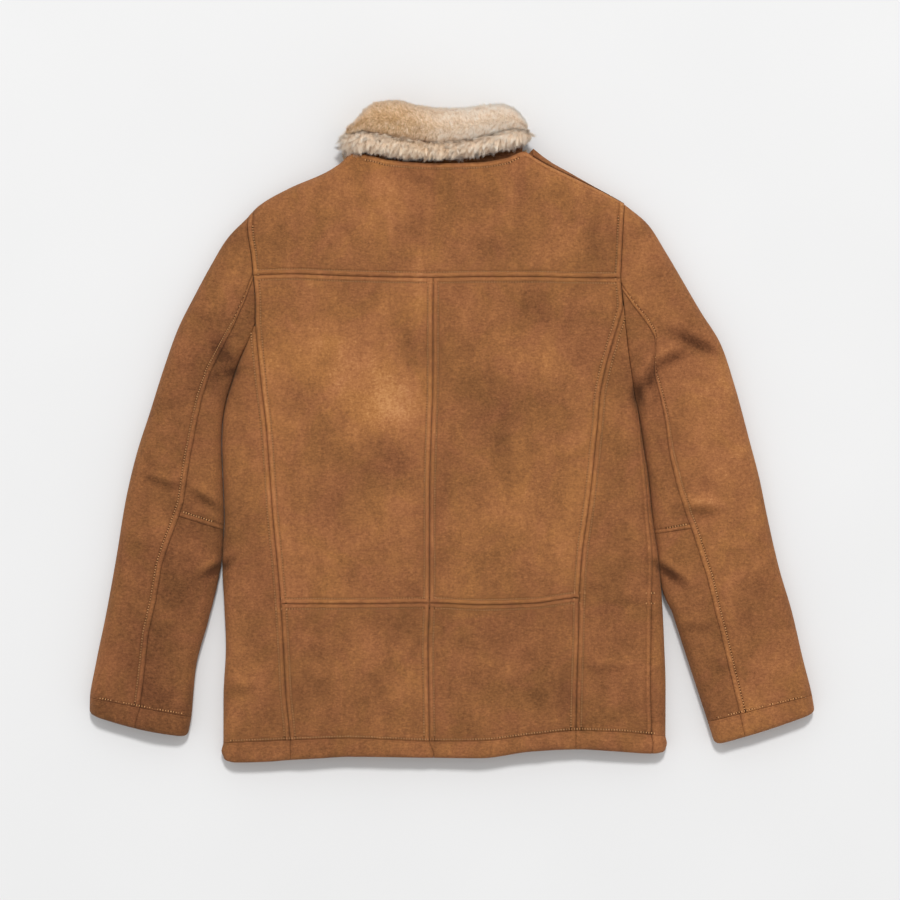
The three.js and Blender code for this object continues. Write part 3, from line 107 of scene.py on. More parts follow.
# Vertical lines of the body. Side is how far the side seam lies past its fold, along the cloth.
BODY = columns(
    "y left princess_left centre princess_right right side",
    (290, -259.5, -259.5, -24, 220.6, 220.6, 0), (276, -260.6, -260.6, -24, 219.5, 219.5, 0),
    (262, -261.2, -261.2, -24, 218.7, 218.7, 0), (250, -260.4, -260.4, -24, 218, 218, 0),
    (238, -258.6, -258.6, -24, 217.4, 217.4, 0), (225, -256.6, -256.6, -24, 216.8, 216.8, 0),
    (211, -255.1, -255.1, -24, 216, 216, 0), (197, -254, -254, -24, 215.6, 215.6, 0),
    (182, -252.4, -252.4, -24.1, 217, 217, 0), (162, -251.2, -251.2, -24.3, 218.4, 219.4, 0),
    (140, -251.4, -251.2, -24.4, 213, 221.3, 0), (131, -253.4, -250.6, -24.4, 210.4, 222, 0),
    (120, -257.4, -249.6, -24.4, 206.8, 223.2, 0), (107, -264, -248.4, -24.4, 203.4, 224.5, 0),
    (92, -271.5, -247, -24.4, 199, 226.5, 0), (62, -282, -244, -24.5, 192, 231, 0),
    (43, -288, -241.8, -24.8, 188.6, 234.2, 1), (30, -291, -240, -25.4, 187.6, 237.5, 2),
    (8, -294, -237.6, -26.3, 186, 241.3, 4), (-16, -294.8, -235.4, -27, 183.5, 244.6, 8),
    (-64, -293.2, -232, -28.4, 178.8, 252, 11), (-110, -291.6, -228.6, -28.7, 173, 256.5, 12.5),
    (-165, -294.4, -223.2, -28.7, 165.8, 264.2, 16), (-219, -292, -218.6, -29, 162.5, 269, 22.5),
    (-273, -289.8, -215.4, -30.7, 161.3, 271.8, 26), (-334, -292.8, -212.2, -29.7, 159.4, 273.8, 28.5),
    (-393, -293, -206.8, -28.7, 158.3, 273.6, 27), (-405, -295.5, -206.4, -25, 158.2, 275.5, 27),
    (-418, -289, -205.8, -22, 158.1, 271.5, 26),
)
# How far each cross seam strays from its nominal height.
CROSS = columns(
    "x yoke waist hem_seam hem_edge",
    (-294, 0.5, -1, -5, -4), (-275, 1, -1, -4, -5.5), (-238, 3.5, -1, -2.5, -4.5), (-206, 4, -1, -1, -2),
    (-170, 2.6, -1, 0.5, 0), (-132, 1, -1, 1.5, 2), (-26, -1, 0, -2.5, 1), (38, 0, -2.3, -1.9, 0.5),
    (103, 0, -0.5, 5.8, 9), (160, -0.8, 6.5, 11, 11.5), (214, -1, 6, 9.3, 8.5), (255, -1, 6, 5.5, 6),
    (274, -1, 6, 4, 7),
)
# Top of the coat: silhouette, the yoke's edge, and how far it is a closed fold.
TOP = columns(
    "x fold yoke closed",
    (-262, 274.5, 274.5, 1), (-247, 289.5, 289.5, 1), (-209, 311.2, 311.2, 1), (-160, 332, 332, 1),
    (-141, 344, 344, 0.85), (-128, 355, 355, 0.3), (-104, 352, 352, 0), (-81, 346, 346, 0), (-25, 342, 342, 0),
    (32, 343, 343, 0), (69, 351, 348.5, 0), (92, 367, 357, 0.3), (106, 360, 349, 0.85), (121, 348, 340.5, 1),
    (150, 331.8, 327, 1), (179, 315.6, 314, 1), (208, 299.8, 299.4, 1), (224, 290.5, 290.5, 1),
)
FRONT_NECK = columns(
    "x y",
    (-130, 349), (-112, 326), (-88, 309), (-55, 295), (-12, 288), (22, 292), (52, 304), (75, 324), (94, 354),
)
# Sleeves from the armhole to the cuff: outer fold, inner fold, sag.
SLEEVES = {
    "left": columns(
        "outer_x outer_y inner_x inner_y sag",
        (-260.5, 275, -264, 107, 0), (-288, 247.2, -270, 96, 0), (-310.6, 209.8, -276, 83, 0),
        (-332, 170, -281, 67, 0), (-351, 132, -287, 48, 0), (-369, 82, -292, 22, 0),
        (-387, 25, -294.5, -20, 0), (-404, -28, -293, -72, 0), (-418, -87, -291, -126, 0),
        (-430, -160, -299, -187, 0), (-443, -232, -313, -245, 0), (-456, -295, -328, -302, 0),
        (-464, -340, -334, -365, 0), (-464.5, -362, -339, -391, 4),
    ),
    "right": columns(
        "outer_x outer_y inner_x inner_y sag",
        (221.5, 291, 234.5, 42, 0), (251, 265.5, 236.5, 33, 0), (274, 229.8, 239.5, 20, 0),
        (295.2, 193.8, 242.5, 4, 0), (319.2, 152.8, 245, -16, 0), (344.2, 112.4, 248, -38, 0),
        (362.4, 58.4, 251.5, -62, 0), (381.4, -12, 254.5, -85, 0), (394.4, -62, 256, -109, 0),
        (404, -109, 258, -131, 0), (419.2, -175, 266.5, -185, 0), (435.4, -230, 281.5, -230, 0),
        (449.4, -290, 301, -290, 0), (461.2, -337, 327.5, -371, 0), (465, -360, 337, -401, 2),
    ),
}
ELBOW = {"left": 8, "right": 9}
CUFF = {"left": 12, "right": 13}
BESIDE_END = {"left": (-126, -187), "right": (-185, -230)}  # here the sleeve's inner fold leaves the body
# Back seams of the sleeves, from the armhole to the hand.
SLEEVE_SEAMS = {
    "left": columns(
        "x y",
        (-246, 204), (-255, 192.6), (-263.7, 169), (-279, 133.8), (-297.6, 97.9), (-309.8, 72.3), (-320, 39.4),
        (-325.6, 13.4), (-334.5, -31.4), (-343, -90.2), (-348.8, -108.2), (-358.4, -133.8), (-370.4, -168.3),
        (-378.2, -215.7), (-387.8, -258.8), (-391.7, -293.8), (-398.3, -350.8), (-405.8, -377), (-407, -392),
    ),
    "right": columns(
        "x y",
        (210, 190), (219.6, 177.9), (234.2, 157.3), (252, 133.8), (260.9, 116.2), (257.9, 92.8), (259.3, 69.2),
        (266.6, 42.9), (272.6, 13.4), (278.4, -30.7), (287.2, -68.9), (300.8, -110.3), (308.5, -130.8),
        (317.9, -161.8), (326.4, -187.4), (335, -225.2), (345.3, -264.6), (355.5, -308.7), (364.8, -347.5),
        (374, -387.8), (377, -402),
    ),
}

# Troughs in the suede, or ridges where the depth is negative. Turn is in degrees.
CREASES = columns(
    "x y turn length width depth",
    (-374, -66, -22, 40, 5, 4.5), (-352, -70, 12, 30, 6, 2), (-316, -88, -32, 50, 5.5, 5.4),
    (-284, 74, 14, 34, 6, 4), (-291, 96, -60, 46, 9, 4), (-300, -176, 30, 38, 6, 9.5),
    (-340, -30, 70, 60, 12, 1.6), (-398, -150, -25, 50, 10, 1.6), (-352, -250, 20, 50, 10, 1.6),
    (-330, 150, -50, 60, 12, 1.4), (279, 92, 24, 44, 6, 6.5), (309, 113, -26, 60, 6.5, 7),
    (338, 130, -34, 30, 9, -2.2), (237, 48, -76, 34, 6, 6.5), (251, 64, 54, 46, 8, 6.5),
    (318, -104, -4, 44, 7, 5), (330, -90, -10, 40, 9, -3.4), (277, -181, -36, 44, 5, 10),
    (312, -252, -2, 46, 6, 3), (360, -10, 35, 60, 12, 1.6), (395, -190, 20, 60, 12, 1.6),
    (345, -300, -12, 40, 9, 1.6), (228, -218, 8, 30, 6, 2), (183, -200, 0, 20, 5, 1.6),
    (200, -305, 2, 56, 6, 2.4), (-267, -331, 8, 34, 6, 3.2), (150, -37, 19, 50, 9, 2),
    (183, 262, 80, 60, 12, 2.2), (-173, -319, -36, 70, 10, 2), (-130, 250, -20, 90, 16, 1.2),
    (60, 232, 12, 80, 14, 1.2), (-60, -120, 30, 90, 16, 1.2), (80, -330, -14, 90, 14, 1.4),
    (110, 150, -25, 70, 14, 1.4), (-170, 60, 40, 90, 16, 1.2),
)
# Brushed clouds in the nap, lighter above zero and darker below; some of the darker ones, along creases and by the
# sleeves' folds, are painted shade.
CLOUDS = columns(
    "x y turn wide high lift",
    (-76, 36, -25, 60, 40, 0.26), (-120, 110, -35, 60, 40, 0.1), (-50, 115, 0, 30, 30, -0.14),
    (-190, 30, 10, 30, 60, -0.1), (-70, -50, 0, 60, 34, -0.13), (-45, 170, 0, 18, 34, 0.16),
    (30, 60, 35, 40, 80, -0.13), (120, 120, 20, 40, 70, 0.06), (90, -90, 15, 80, 30, 0.06),
    (-240, -20, 3, 16, 120, 0.1), (-130, 160, 0, 24, 36, -0.08), (-60, -300, -30, 60, 34, 0.1),
    (-300, 90, 20, 26, 60, -0.14), (300, 120, -20, 50, 14, -0.12), (180, 240, 20, 30, 50, -0.1),
    (350, 60, 20, 40, 60, 0.06), (-405, -262, 15, 34, 80, -0.12), (385, -262, -12, 36, 80, -0.08),
    (286, 0, 10, 22, 60, -0.1),
)
# Each panel is cut from another part of the skin, lighter or darker than its neighbours.
SHADES = {
    "back_yoke": 0.03, "back_upper_left": 0.06, "back_upper_right": 0.0, "back_lower_left": -0.06,
    "back_lower_right": -0.12, "back_side_left": -0.07, "back_side_right": -0.09, "sleeve_left_outer": -0.11,
    "sleeve_left_under_upper": -0.1, "sleeve_left_under_lower": -0.19, "sleeve_right_outer": 0.03,
    "sleeve_right_under_upper": -0.1, "sleeve_right_under_lower": -0.12, "cuff_left_outer": -0.18,
    "cuff_left_under": -0.2, "cuff_right_outer": 0.0, "cuff_right_under": 0.0,
    "hem_back_left": -0.1, "hem_back_right": -0.11, "hem_back_side_left": -0.1, "hem_back_side_right": -0.12,
}
COLLAR = columns(
    "x lower crease crest size",
    (-142, 367, 373, 378, 0.45), (-136, 362, 379, 385, 0.72), (-127, 360, 381.5, 390.5, 0.86),
    (-119, 360, 382.5, 399, 0.93), (-112, 360.5, 382.5, 407.5, 0.97), (-95, 359.5, 378.5, 418.5, 1),
    (-72, 355.5, 374.5, 420.5, 1), (-44, 352.8, 369.5, 414.5, 1), (-14, 353, 367.5, 410.5, 1),
    (16, 354, 370, 411, 1), (44, 358.5, 376, 415, 1), (66, 364.5, 382, 415.5, 1), (82, 368.5, 385, 407.5, 0.95),
    (92, 371, 385, 395.5, 0.85), (98, 373, 381.5, 387, 0.7), (102, 376, 380, 383, 0.45),
)
ROLL_TOP, EDGE_TOP, CREASE_TOP, STAND_TOP = 60, 56, 45, 28  # heights of the collar's parts
FUR_GAP = 3  # air between the upper roll's two layers
WOOL_SPREAD = 0.25  # how far locks stray from their comb
ROLL_SHARE, STAND_SHARE, SHOULDER_SHARE, HOLLOW_SHARE = 0.7, 0.3, 0.45, 0.1
STAND_FOOT = 12  # from the yoke's neck edge to the stand's foot
LEAVES = {
    "left": {"neck": (-104, 347), "edge": (-141, 357), "end": (-24, 288), "point": (-72, 226)},
    "right": {"neck": (74, 351), "edge": (96, 362), "end": (-2, 288), "point": (46, 226)},
}
LEAF_BOW = {"out": 12, "down": 7.2}


# ---- Lines and heights of the coat ----


def curve(at, table, key, column):
    """Smooth curve through a table's column where its key column has the given values."""
    xs, ys = table[key], table[column]
    if xs[0] > xs[-1]:
        xs, ys = xs[::-1], ys[::-1]
    at = np.clip(np.asarray(at, float), xs[0], xs[-1])
    i = np.clip(np.searchsorted(xs, at) - 1, 0, len(xs) - 2)
    step = np.diff(xs)
    rise = np.diff(ys) / step
    same = rise[1:] * rise[:-1] > 0
    before, after = np.where(same, rise[:-1], 1), np.where(same, rise[1:], 1)
    w1, w2 = 2 * step[1:] + step[:-1], step[1:] + 2 * step[:-1]
    slope = np.concatenate([rise[:1], np.where(same, (w1 + w2) / (w1 / before + w2 / after), 0), rise[-1:]])
    t, h = (at - xs[i]) / step[i], step[i]
    ends = (1 + 2 * t) * (1 - t) ** 2 * ys[i] + t * t * (3 - 2 * t) * ys[i + 1]
    return ends + h * t * (1 - t) * ((1 - t) * slope[i] - t * slope[i + 1])


def smooth(t):
    t = np.clip(t, 0, 1)
    return t * t * (3 - 2 * t)


def lerp(a, b, t):
    return a + (b - a) * t


def steps(a, b, pitch):
    """Even steps from a to b, none longer than pitch."""
    return np.linspace(a, b, max(1, math.ceil(abs(b - a) / pitch - 1e-9)) + 1)


def body_line(name, y):
    return curve(y, BODY, "y", name)


def fold_top(x):
    return curve(x, TOP, "x", "fold")


def closed_top(x):
    return np.interp(x, TOP["x"], TOP["closed"])


def body_y(x, y):
    """Height in the plan of a body point: its nominal height, moved with the cross seams round it."""
    x, y = np.broadcast_arrays(np.asarray(x, float), np.asarray(y, float))
    stray = {name: curve(x, CROSS, "x", name) for name in ("yoke", "waist", "hem_seam", "hem_edge")}
    above = y + stray["yoke"] * np.clip(1 - (y - YOKE_Y) / YOKE_FADE, 0, 1)
    levels = [("yoke", YOKE_Y), ("waist", WAIST_Y), ("hem_seam", HEM_SEAM_Y), ("hem_edge", HEM_EDGE_Y)]
    out = above
    for (upper, top), (lower, bottom) in zip(levels, levels[1:]):
        between = y + lerp(stray[upper], stray[lower], (top - y) / (top - bottom))
        out = np.where(y < top, between, out)
    return out


def marks(table, x, y):
    """For each row of a table of marks: how far places of the plan lie along and across it, and its sizes."""
    x, y = np.asarray(x, float), np.asarray(y, float)
    for at_x, at_y, turn, *sizes in zip(*table.values()):
        a = math.radians(turn)
        along = (x - at_x) * math.cos(a) + (y - at_y) * math.sin(a)
        yield along, (y - at_y) * math.cos(a) - (x - at_x) * math.sin(a), *sizes


def troughs(x, y):
    """Depth of the creases at places of the plan: each is a trough with a low ridge beside it."""
    depth = np.zeros(np.broadcast(x, y).shape)
    for along, across, long, wide, deep in marks(CREASES, x, y):
        along, across = along / (long / 2), across / wide
        depth += deep * np.exp(-(along**2)) * (np.exp(-(across**2)) - 0.3 * np.exp(-((across - 1.9) ** 2)))
    return depth


waves = np.random.default_rng(11)
WAVES = [
    (size * waves.uniform(0.6, 1.3), waves.uniform(0, math.tau), waves.uniform(0, math.tau), rise)
    for size, rise in [(150, 0.5)] * 5 + [(75, 0.3)] * 7 + [(34, 0.12)] * 9 + [(15, 0.045)] * 10
]


def unevenness(x, y):
    """Gentle rise and fall of soft cloth that was laid by hand."""
    total = np.zeros(np.broadcast(x, y).shape)
    for length, way, start, rise in WAVES:
        total += rise * np.sin((x * math.cos(way) + y * math.sin(way)) * math.tau / length + start)
    return total


def clouds(x, y):
    """How much lighter the nap is brushed at places of the plan, with painted shade where a darker cloud lies along a
    crease or fold.
    """
    lift = np.zeros(np.broadcast(x, y).shape)
    for along, across, wide, high, by in marks(CLOUDS, x, y):
        u, v = along / wide, across / high
        lift += by * np.exp(-(u * u + v * v))
    return lift


def armpit_closed(side, y):
    """1 where the side is a fold, 0 where it is open to the sleeve."""
    return smooth((OPEN_TOP[side] - np.asarray(y, float)) / (OPEN_TOP[side] - OPEN_END[side]))


def leaf_lift(x, y):
    """Lift of the coat over the collar's front ends."""
    across = smooth((LEAF_RAMP["out_x"] - np.abs(x - LEAF_RAMP["middle_x"])) / LEAF_RAMP["width"])
    return LEAF_LIFT * across * smooth((y - LEAF_RAMP["low_y"]) / LEAF_RAMP["width"])


def lap_share(x, y):
    """How far the back lies on the overlap of the fronts."""
    s = LAP_SWELL
    across = smooth((x - s["from"]) / s["ease"]) * smooth((s["to"] - x) / s["ease"])
    return across * smooth((s["neck_y"] - y) / s["neck_ease"])


def body_fold(x, y, row):
    """Nearest fold: square distance to it, the way in from it across and up, and how closed it is."""
    left, right = x - body_line("left", row), body_line("right", row) - x
    nearer = left < right
    at_top = y > SHOULDER_FROM
    depth = np.where(at_top, (fold_top(x) - y) * SHOULDER_COS, np.where(nearer, left, right))
    in_x = np.where(at_top, 0, np.where(nearer, 1, -1))
    in_y = np.where(at_top, -1 / SHOULDER_COS, 0)
    sides = np.where(nearer, armpit_closed("left", row), armpit_closed("right", row))
    return depth, in_x, in_y, np.where(at_top, closed_top(x), sides)


def fold_shape(depth, closed):
    """Into is 1 at a fold's edge and 0 away from it; flat is the reverse, for heights."""
    into = np.where(closed > 0, np.clip(1 - np.where(depth < 0.02, 0, depth) / FOLD_R, 0, 1), 0)
    return into * closed, 1 - closed * (1 - np.sqrt(1 - into * into))


def fold_reach(path):
    """Distance in from a fold's edge at a length along the cloth."""
    path = np.asarray(path, float)
    return np.where(path < QUARTER, FOLD_R * (1 - np.cos(path / FOLD_R)), FOLD_R + path - QUARTER)


def bump(away, middle, width):
    """1 at the middle, and less with the distance from it."""
    return np.exp(-(((away - middle) / width) ** 2))


def seam_relief(away, row=TWIN):
    """Height of the suede at a distance from a seam that has a row of stitches beside it."""
    sink = -0.8 * (1 - smooth(away / 15))
    return sink - 1.0 * bump(away, 0, 0.8) + 0.9 * bump(away, row * 0.5, row * 0.3) - 1.1 * bump(away, row, 0.9)


def plain_relief(away):
    """The same at a seam with no stitches on it."""
    return -0.8 * (1 - smooth(away / 12)) - 0.9 * bump(away, 0, 1.1)


def edge_relief(away):
    """The same above the hem and cuff bands, with the row close to the seam."""
    return -0.9 * (1 - smooth(away / 12)) - 0.8 * bump(away, 0, 1) - 0.6 * bump(away, EDGE_ROW, 0.8)


def rim_drop(away):
    """How far the yoke's neck edge is rounded down."""
    return RIM_ROUND * (1 - np.sqrt(1 - np.clip(1 - away / RIM_REACH, 0, 1) ** 2))


def points(x, y, z):
    return np.stack(np.broadcast_arrays(x, y, z), axis=-1)


def back_point(x, y, row, relief=0.0):
    """Outer and inner points of the back layer. Relief moves the suede up."""
    depth, in_x, in_y, closed = body_fold(x, y, row)
    into, flat = fold_shape(depth, closed)
    middle = FOLD_R + leaf_lift(x, y)
    left = body_line("left", row)
    q = np.clip((x - left) / (body_line("right", row) - left), 0, 1) * 2 - 1
    crown = BODY_CROWN * (1 - q**4) * flat * smooth((CROWN_END["y"] - y) / CROWN_END["ease"])
    surface = (relief + unevenness(x, y) - troughs(x, y)) * flat
    outer = points(x, y, middle + FOLD_R * flat + crown + surface)
    inner_z = middle + SLIT_R * flat + LAP_RISE * lap_share(x, y)
    return outer, points(x + in_x * into * WALL, y + in_y * into * WALL, inner_z)


def front_point(x, y, row, lap, raised=0.0):
    """The same for the front layer, on the underside. Raised moves the suede up, off the ground."""
    depth, in_x, in_y, closed = body_fold(x, y, row)
    into, flat = fold_shape(depth, closed)
    middle = FOLD_R + leaf_lift(x, y)
    over = smooth((LAP["right"] + LAP_EDGES["upper"] - x) / LAP_EDGES["upper_ease"])
    under = smooth((x - LAP["left"] + LAP_EDGES["lower"]) / LAP_EDGES["lower_ease"])
    lift = LAP_LIFT * over if lap == "right" else 0
    top = LAP_RISE * over if lap == "right" else -(WALL - LAP_WALL) * under
    outer = points(x, y, middle - FOLD_R * flat + lift + raised * flat)
    return outer, points(x + in_x * into * WALL, y + in_y * into * WALL, middle - SLIT_R * flat + top)


# ---- Making walls, seams and pieces ----

def piece(name, mesh_or_bm, finishes, slot):
    """A named object that rides on the coat, from a mesh or a bmesh."""
    if isinstance(mesh_or_bm, bmesh.types.BMesh):
        mesh = bpy.data.meshes.new(name)
        mesh_or_bm.to_mesh(mesh)
        mesh_or_bm.free()
    else:
        mesh = mesh_or_bm
    for finish in finishes:
        mesh.materials.append(finish)
    mesh.shade_smooth()
    made = bpy.data.objects.new(name, mesh)
    bpy.context.scene.collection.objects.link(made)
    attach(made, "root")
    return made


def grid_points(bm, rows, cols):
    """A new grid's vertices, row by row."""
    made = bmesh.ops.create_grid(bm, x_segments=cols - 1, y_segments=rows - 1, size=1)["verts"]
    return sorted(made, key=lambda v: (round(v.co.y * rows), v.co.x))


def lay_grid(bm, outer, inner, tone, layers):
    """One sheet of points, rows going up and columns going right as seen from outside."""
    made = grid_points(bm, *outer.shape[:2])
    for v, p, q, t in zip(made, outer.reshape(-1, 3), inner.reshape(-1, 3), tone.reshape(-1)):
        v.co = p * MM
        v[layers[0]] = q * MM
        v[layers[1]] = t


def cut_size(sheets):
    """Widest line across joined sheets of points, square to their columns, and the longest column, in metres."""
    across = []
    for sheet in sheets:
        right, up = np.diff(sheet, axis=1)[:-1], np.diff(sheet, axis=0)[:, :-1]
        across.append(np.linalg.norm(np.cross(right, unit(up)), axis=2).sum(axis=1))
    if len({len(rows) for rows in across}) == 1:
        across = [sum(across)]
    long = np.linalg.norm(np.diff(sheets[0], axis=0), axis=2).sum(axis=0).max()
    return sum(rows.max() for rows in across) * MM, long * MM


def wall(name, sheets, wool=False):
    """Closed wall of suede and wool from sheets of outer points, inner points and tone."""
    bm = bmesh.new()
    layers = bm.verts.layers.float_vector.new("inner"), bm.verts.layers.float.new("tone")
    for outer, inner, tone in sheets:
        lay_grid(bm, outer, inner, np.broadcast_to(tone + SHADES.get(name, -0.05), outer.shape[:2]), layers)
    bmesh.ops.remove_doubles(bm, verts=bm.verts, dist=JOIN * MM)
    area = sum(f.calc_area() for f in bm.faces)
    made = bmesh.ops.extrude_face_region(bm, geom=list(bm.faces), use_keep_orig=True)["geom"]
    inside = [g for g in made if isinstance(g, bmesh.types.BMFace)]
    for g in made:
        if isinstance(g, bmesh.types.BMVert):
            g.co = g[layers[0]]
    for face in inside:
        face.material_index = 1
    bmesh.ops.remove_doubles(bm, verts=bm.verts, dist=JOIN * MM)
    bmesh.ops.recalc_face_normals(bm, faces=bm.faces)
    if bm.calc_volume(signed=True) < 0:
        bmesh.ops.reverse_faces(bm, faces=bm.faces)
    bm.verts.layers.float_vector.remove(layers[0])
    outside, slot = (clipped_wool, "fur") if wool else (suede, "suede")
    made = piece(f"{name}_skin", bm, (outside, clipped_wool), slot)
    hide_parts(name)
    wide, long = cut_size([sheet[0] for sheet in sheets])
    return made


def across_panel(a, b):
    """Places across a panel between two lines: close together by the seams, then even."""
    a, b = np.asarray(a, float)[:, None], np.asarray(b, float)[:, None]
    width = b - a
    scale = np.clip(width / (2.6 * SEAM_NEAR[-1]), 0, 1)
    from_a, from_b = a + SEAM_NEAR * scale, b - SEAM_NEAR * scale
    between = steps(0, 1, PITCH / max(1, float(width.max()) - 2 * SEAM_NEAR[-1]))[1:-1]
    middle = lerp(from_a[:, -1:], from_b[:, -1:], between)
    return np.concatenate([from_a, middle, from_b[:, ::-1]], axis=1)


def pucker(x, y):
    """Small gathers that a seam's stitches pull into the suede."""
    return sum(0.11 * np.sin((x * a + y * b) * math.tau / c + d) for a, b, c, d in PUCKERS)


PUCKERS = [
    (math.cos(way), math.sin(way), length, start)
    for way, length, start in zip(*(waves.uniform(*ends, 12) for ends in ((0, math.tau), (7, 15), (0, math.tau))))
]


def worked(x, y, stitched=None, plain=None, band=None, row=TWIN):
    """Relief and tone of the suede at its distances from stitched seams, plain seams and a band's seam. The tone has
    painted shade in creases, seams and stitch lines, and painted highlight on raised welts and ridges.
    """
    # Creases are darkened by their depth as painted shade, and the low ridges beside them lightened as painted
    # highlight.
    relief, tone = 0.0, clouds(x, y) - 0.055 * troughs(x, y)
    if stitched is not None:
        relief = relief + seam_relief(stitched, row) + pucker(x, y) * np.exp(-((stitched / 7) ** 2))
        # Painted highlight on the raised welt between seam and stitches, and painted shade in the seam and along the
        # stitch line.
        tone = tone + 0.1 * bump(stitched, row / 2, row * 0.3)
        tone = tone - 0.05 * bump(stitched, 0, 0.9) - 0.1 * bump(stitched, row, 0.9)
    if plain is not None:
        # Painted shade in the plain seam's groove.
        relief, tone = relief + plain_relief(plain), tone - 0.04 * bump(plain, 0, 1.1)
    if band is not None:
        relief = relief + edge_relief(band) + pucker(x, y) * np.exp(-((band / 7) ** 2))
        # Painted shade in the band's seam and along its stitch line.
        tone = tone - 0.03 * bump(band, 0, 1) - 0.06 * bump(band, EDGE_ROW, 0.8)
    return relief, tone


def turned_edge(outer, inner, tone, edge):
    """Adds rows below a sheet, where the suede turns round the wall's end to the wool, darkened as painted shade the
    further it turns under. Edge is how far it goes.
    """
    middle, half = (outer[0] + inner[0]) / 2, (outer[0] - inner[0]) / 2
    reach = np.concatenate([edge, np.zeros((len(edge), 1))], axis=1)
    angles = np.linspace(math.pi, 0, 10)[:-1, None, None]
    turned = middle + half * np.cos(angles) + reach * np.sin(angles)
    tone = np.broadcast_to(tone, outer.shape[:2])
    # The turned rows are darkened towards the underside as painted shade.
    shade = tone[0] - 0.1 * (1 - np.cos(angles[:, :, 0]))
    return (
        np.concatenate([turned, outer]),
        np.concatenate([np.broadcast_to(inner[0], turned.shape), inner]),
        np.concatenate([shade, tone]),
    )


def flipped(sheet):
    """The sheet with its columns the other way round."""
    return tuple(np.broadcast_to(part, sheet[0].shape[: part.ndim])[:, ::-1] for part in map(np.asarray, sheet))


def body_rows(top, bottom, near_top=True):
    """Nominal heights of a body panel's rows, close together by the cross seams. A hem's start where its edge turns."""
    high = top - SEAM_NEAR if near_top else np.array([top])
    low = np.array([bottom + ROLL_R]) if bottom == HEM_EDGE_Y else bottom + SEAM_NEAR
    return np.unique(np.concatenate([low, steps(low[-1], high[-1], PITCH), high]).round(4))[:, None]


def seam_inset(rows, top, bottom):
    """Each piece's share of the gap at the seams above and below it."""
    return np.where(rows == top, -HALF_GAP, np.where(rows == bottom, HALF_GAP, 0))


def band_bulge(rows, top, bottom):
    """Rise of a padded band between its seam and its edge."""
    return 1.9 * np.sin(math.pi * np.clip((top - rows) / (top - bottom), 0, 1)) ** 0.8


def hem_reach(x, rows_base):
    """How far the hem's edge lies from the base of its turn, across and up."""
    down = body_y(x, HEM_EDGE_Y) - body_y(x, rows_base)
    return np.stack([np.zeros_like(down), down], axis=-1)


def back_sheet(x, y, rows, top, bottom, relief, tone):
    """Sheet of a body piece's points on the back. A hem band is padded and its edge turned."""
    hem = bottom == HEM_EDGE_Y
    if hem:
        relief, tone = relief + band_bulge(rows, top, bottom), tone + HEM_LIFT
    outer, inner = back_point(x, y, rows, relief)
    return turned_edge(outer, inner, tone, hem_reach(x[0], rows[0])) if hem else (outer, inner, tone)


def seam_distances(rows, top, bottom, sides):
    """Distances to the stitched, plain and band seams of a body panel."""
    far = np.full(np.broadcast(rows, sides).shape, float(FAR))
    above, below = np.broadcast_to(top - rows, far.shape), np.broadcast_to(rows - bottom, far.shape)
    if bottom == HEM_EDGE_Y:
        return far, sides, above
    stitched = np.minimum(sides, above)
    if bottom == HEM_SEAM_Y:
        return stitched, far, below
    return np.minimum(stitched, below), far, None


def back_panel(name, a, b, top, bottom):
    """A panel of the back between two vertical lines and two heights."""
    rows = body_rows(top, bottom)
    x = across_panel(body_line(a, rows[:, 0]) + HALF_GAP, body_line(b, rows[:, 0]) - HALF_GAP)
    y = body_y(x, rows) + seam_inset(rows, top, bottom)
    to_a, to_b = x - x[:, :1], x[:, -1:] - x
    stitched, plain, band = seam_distances(rows, top, bottom, np.minimum(to_a, to_b))
    relief, tone = worked(x, y, stitched, plain, band)
    wall(name, [back_sheet(x, y, rows, top, bottom, relief, tone)])


def side_path(rows):
    """Length along the cloth from the side fold to the side seam."""
    return np.maximum(body_line("side", rows), SEAM_LEAST)


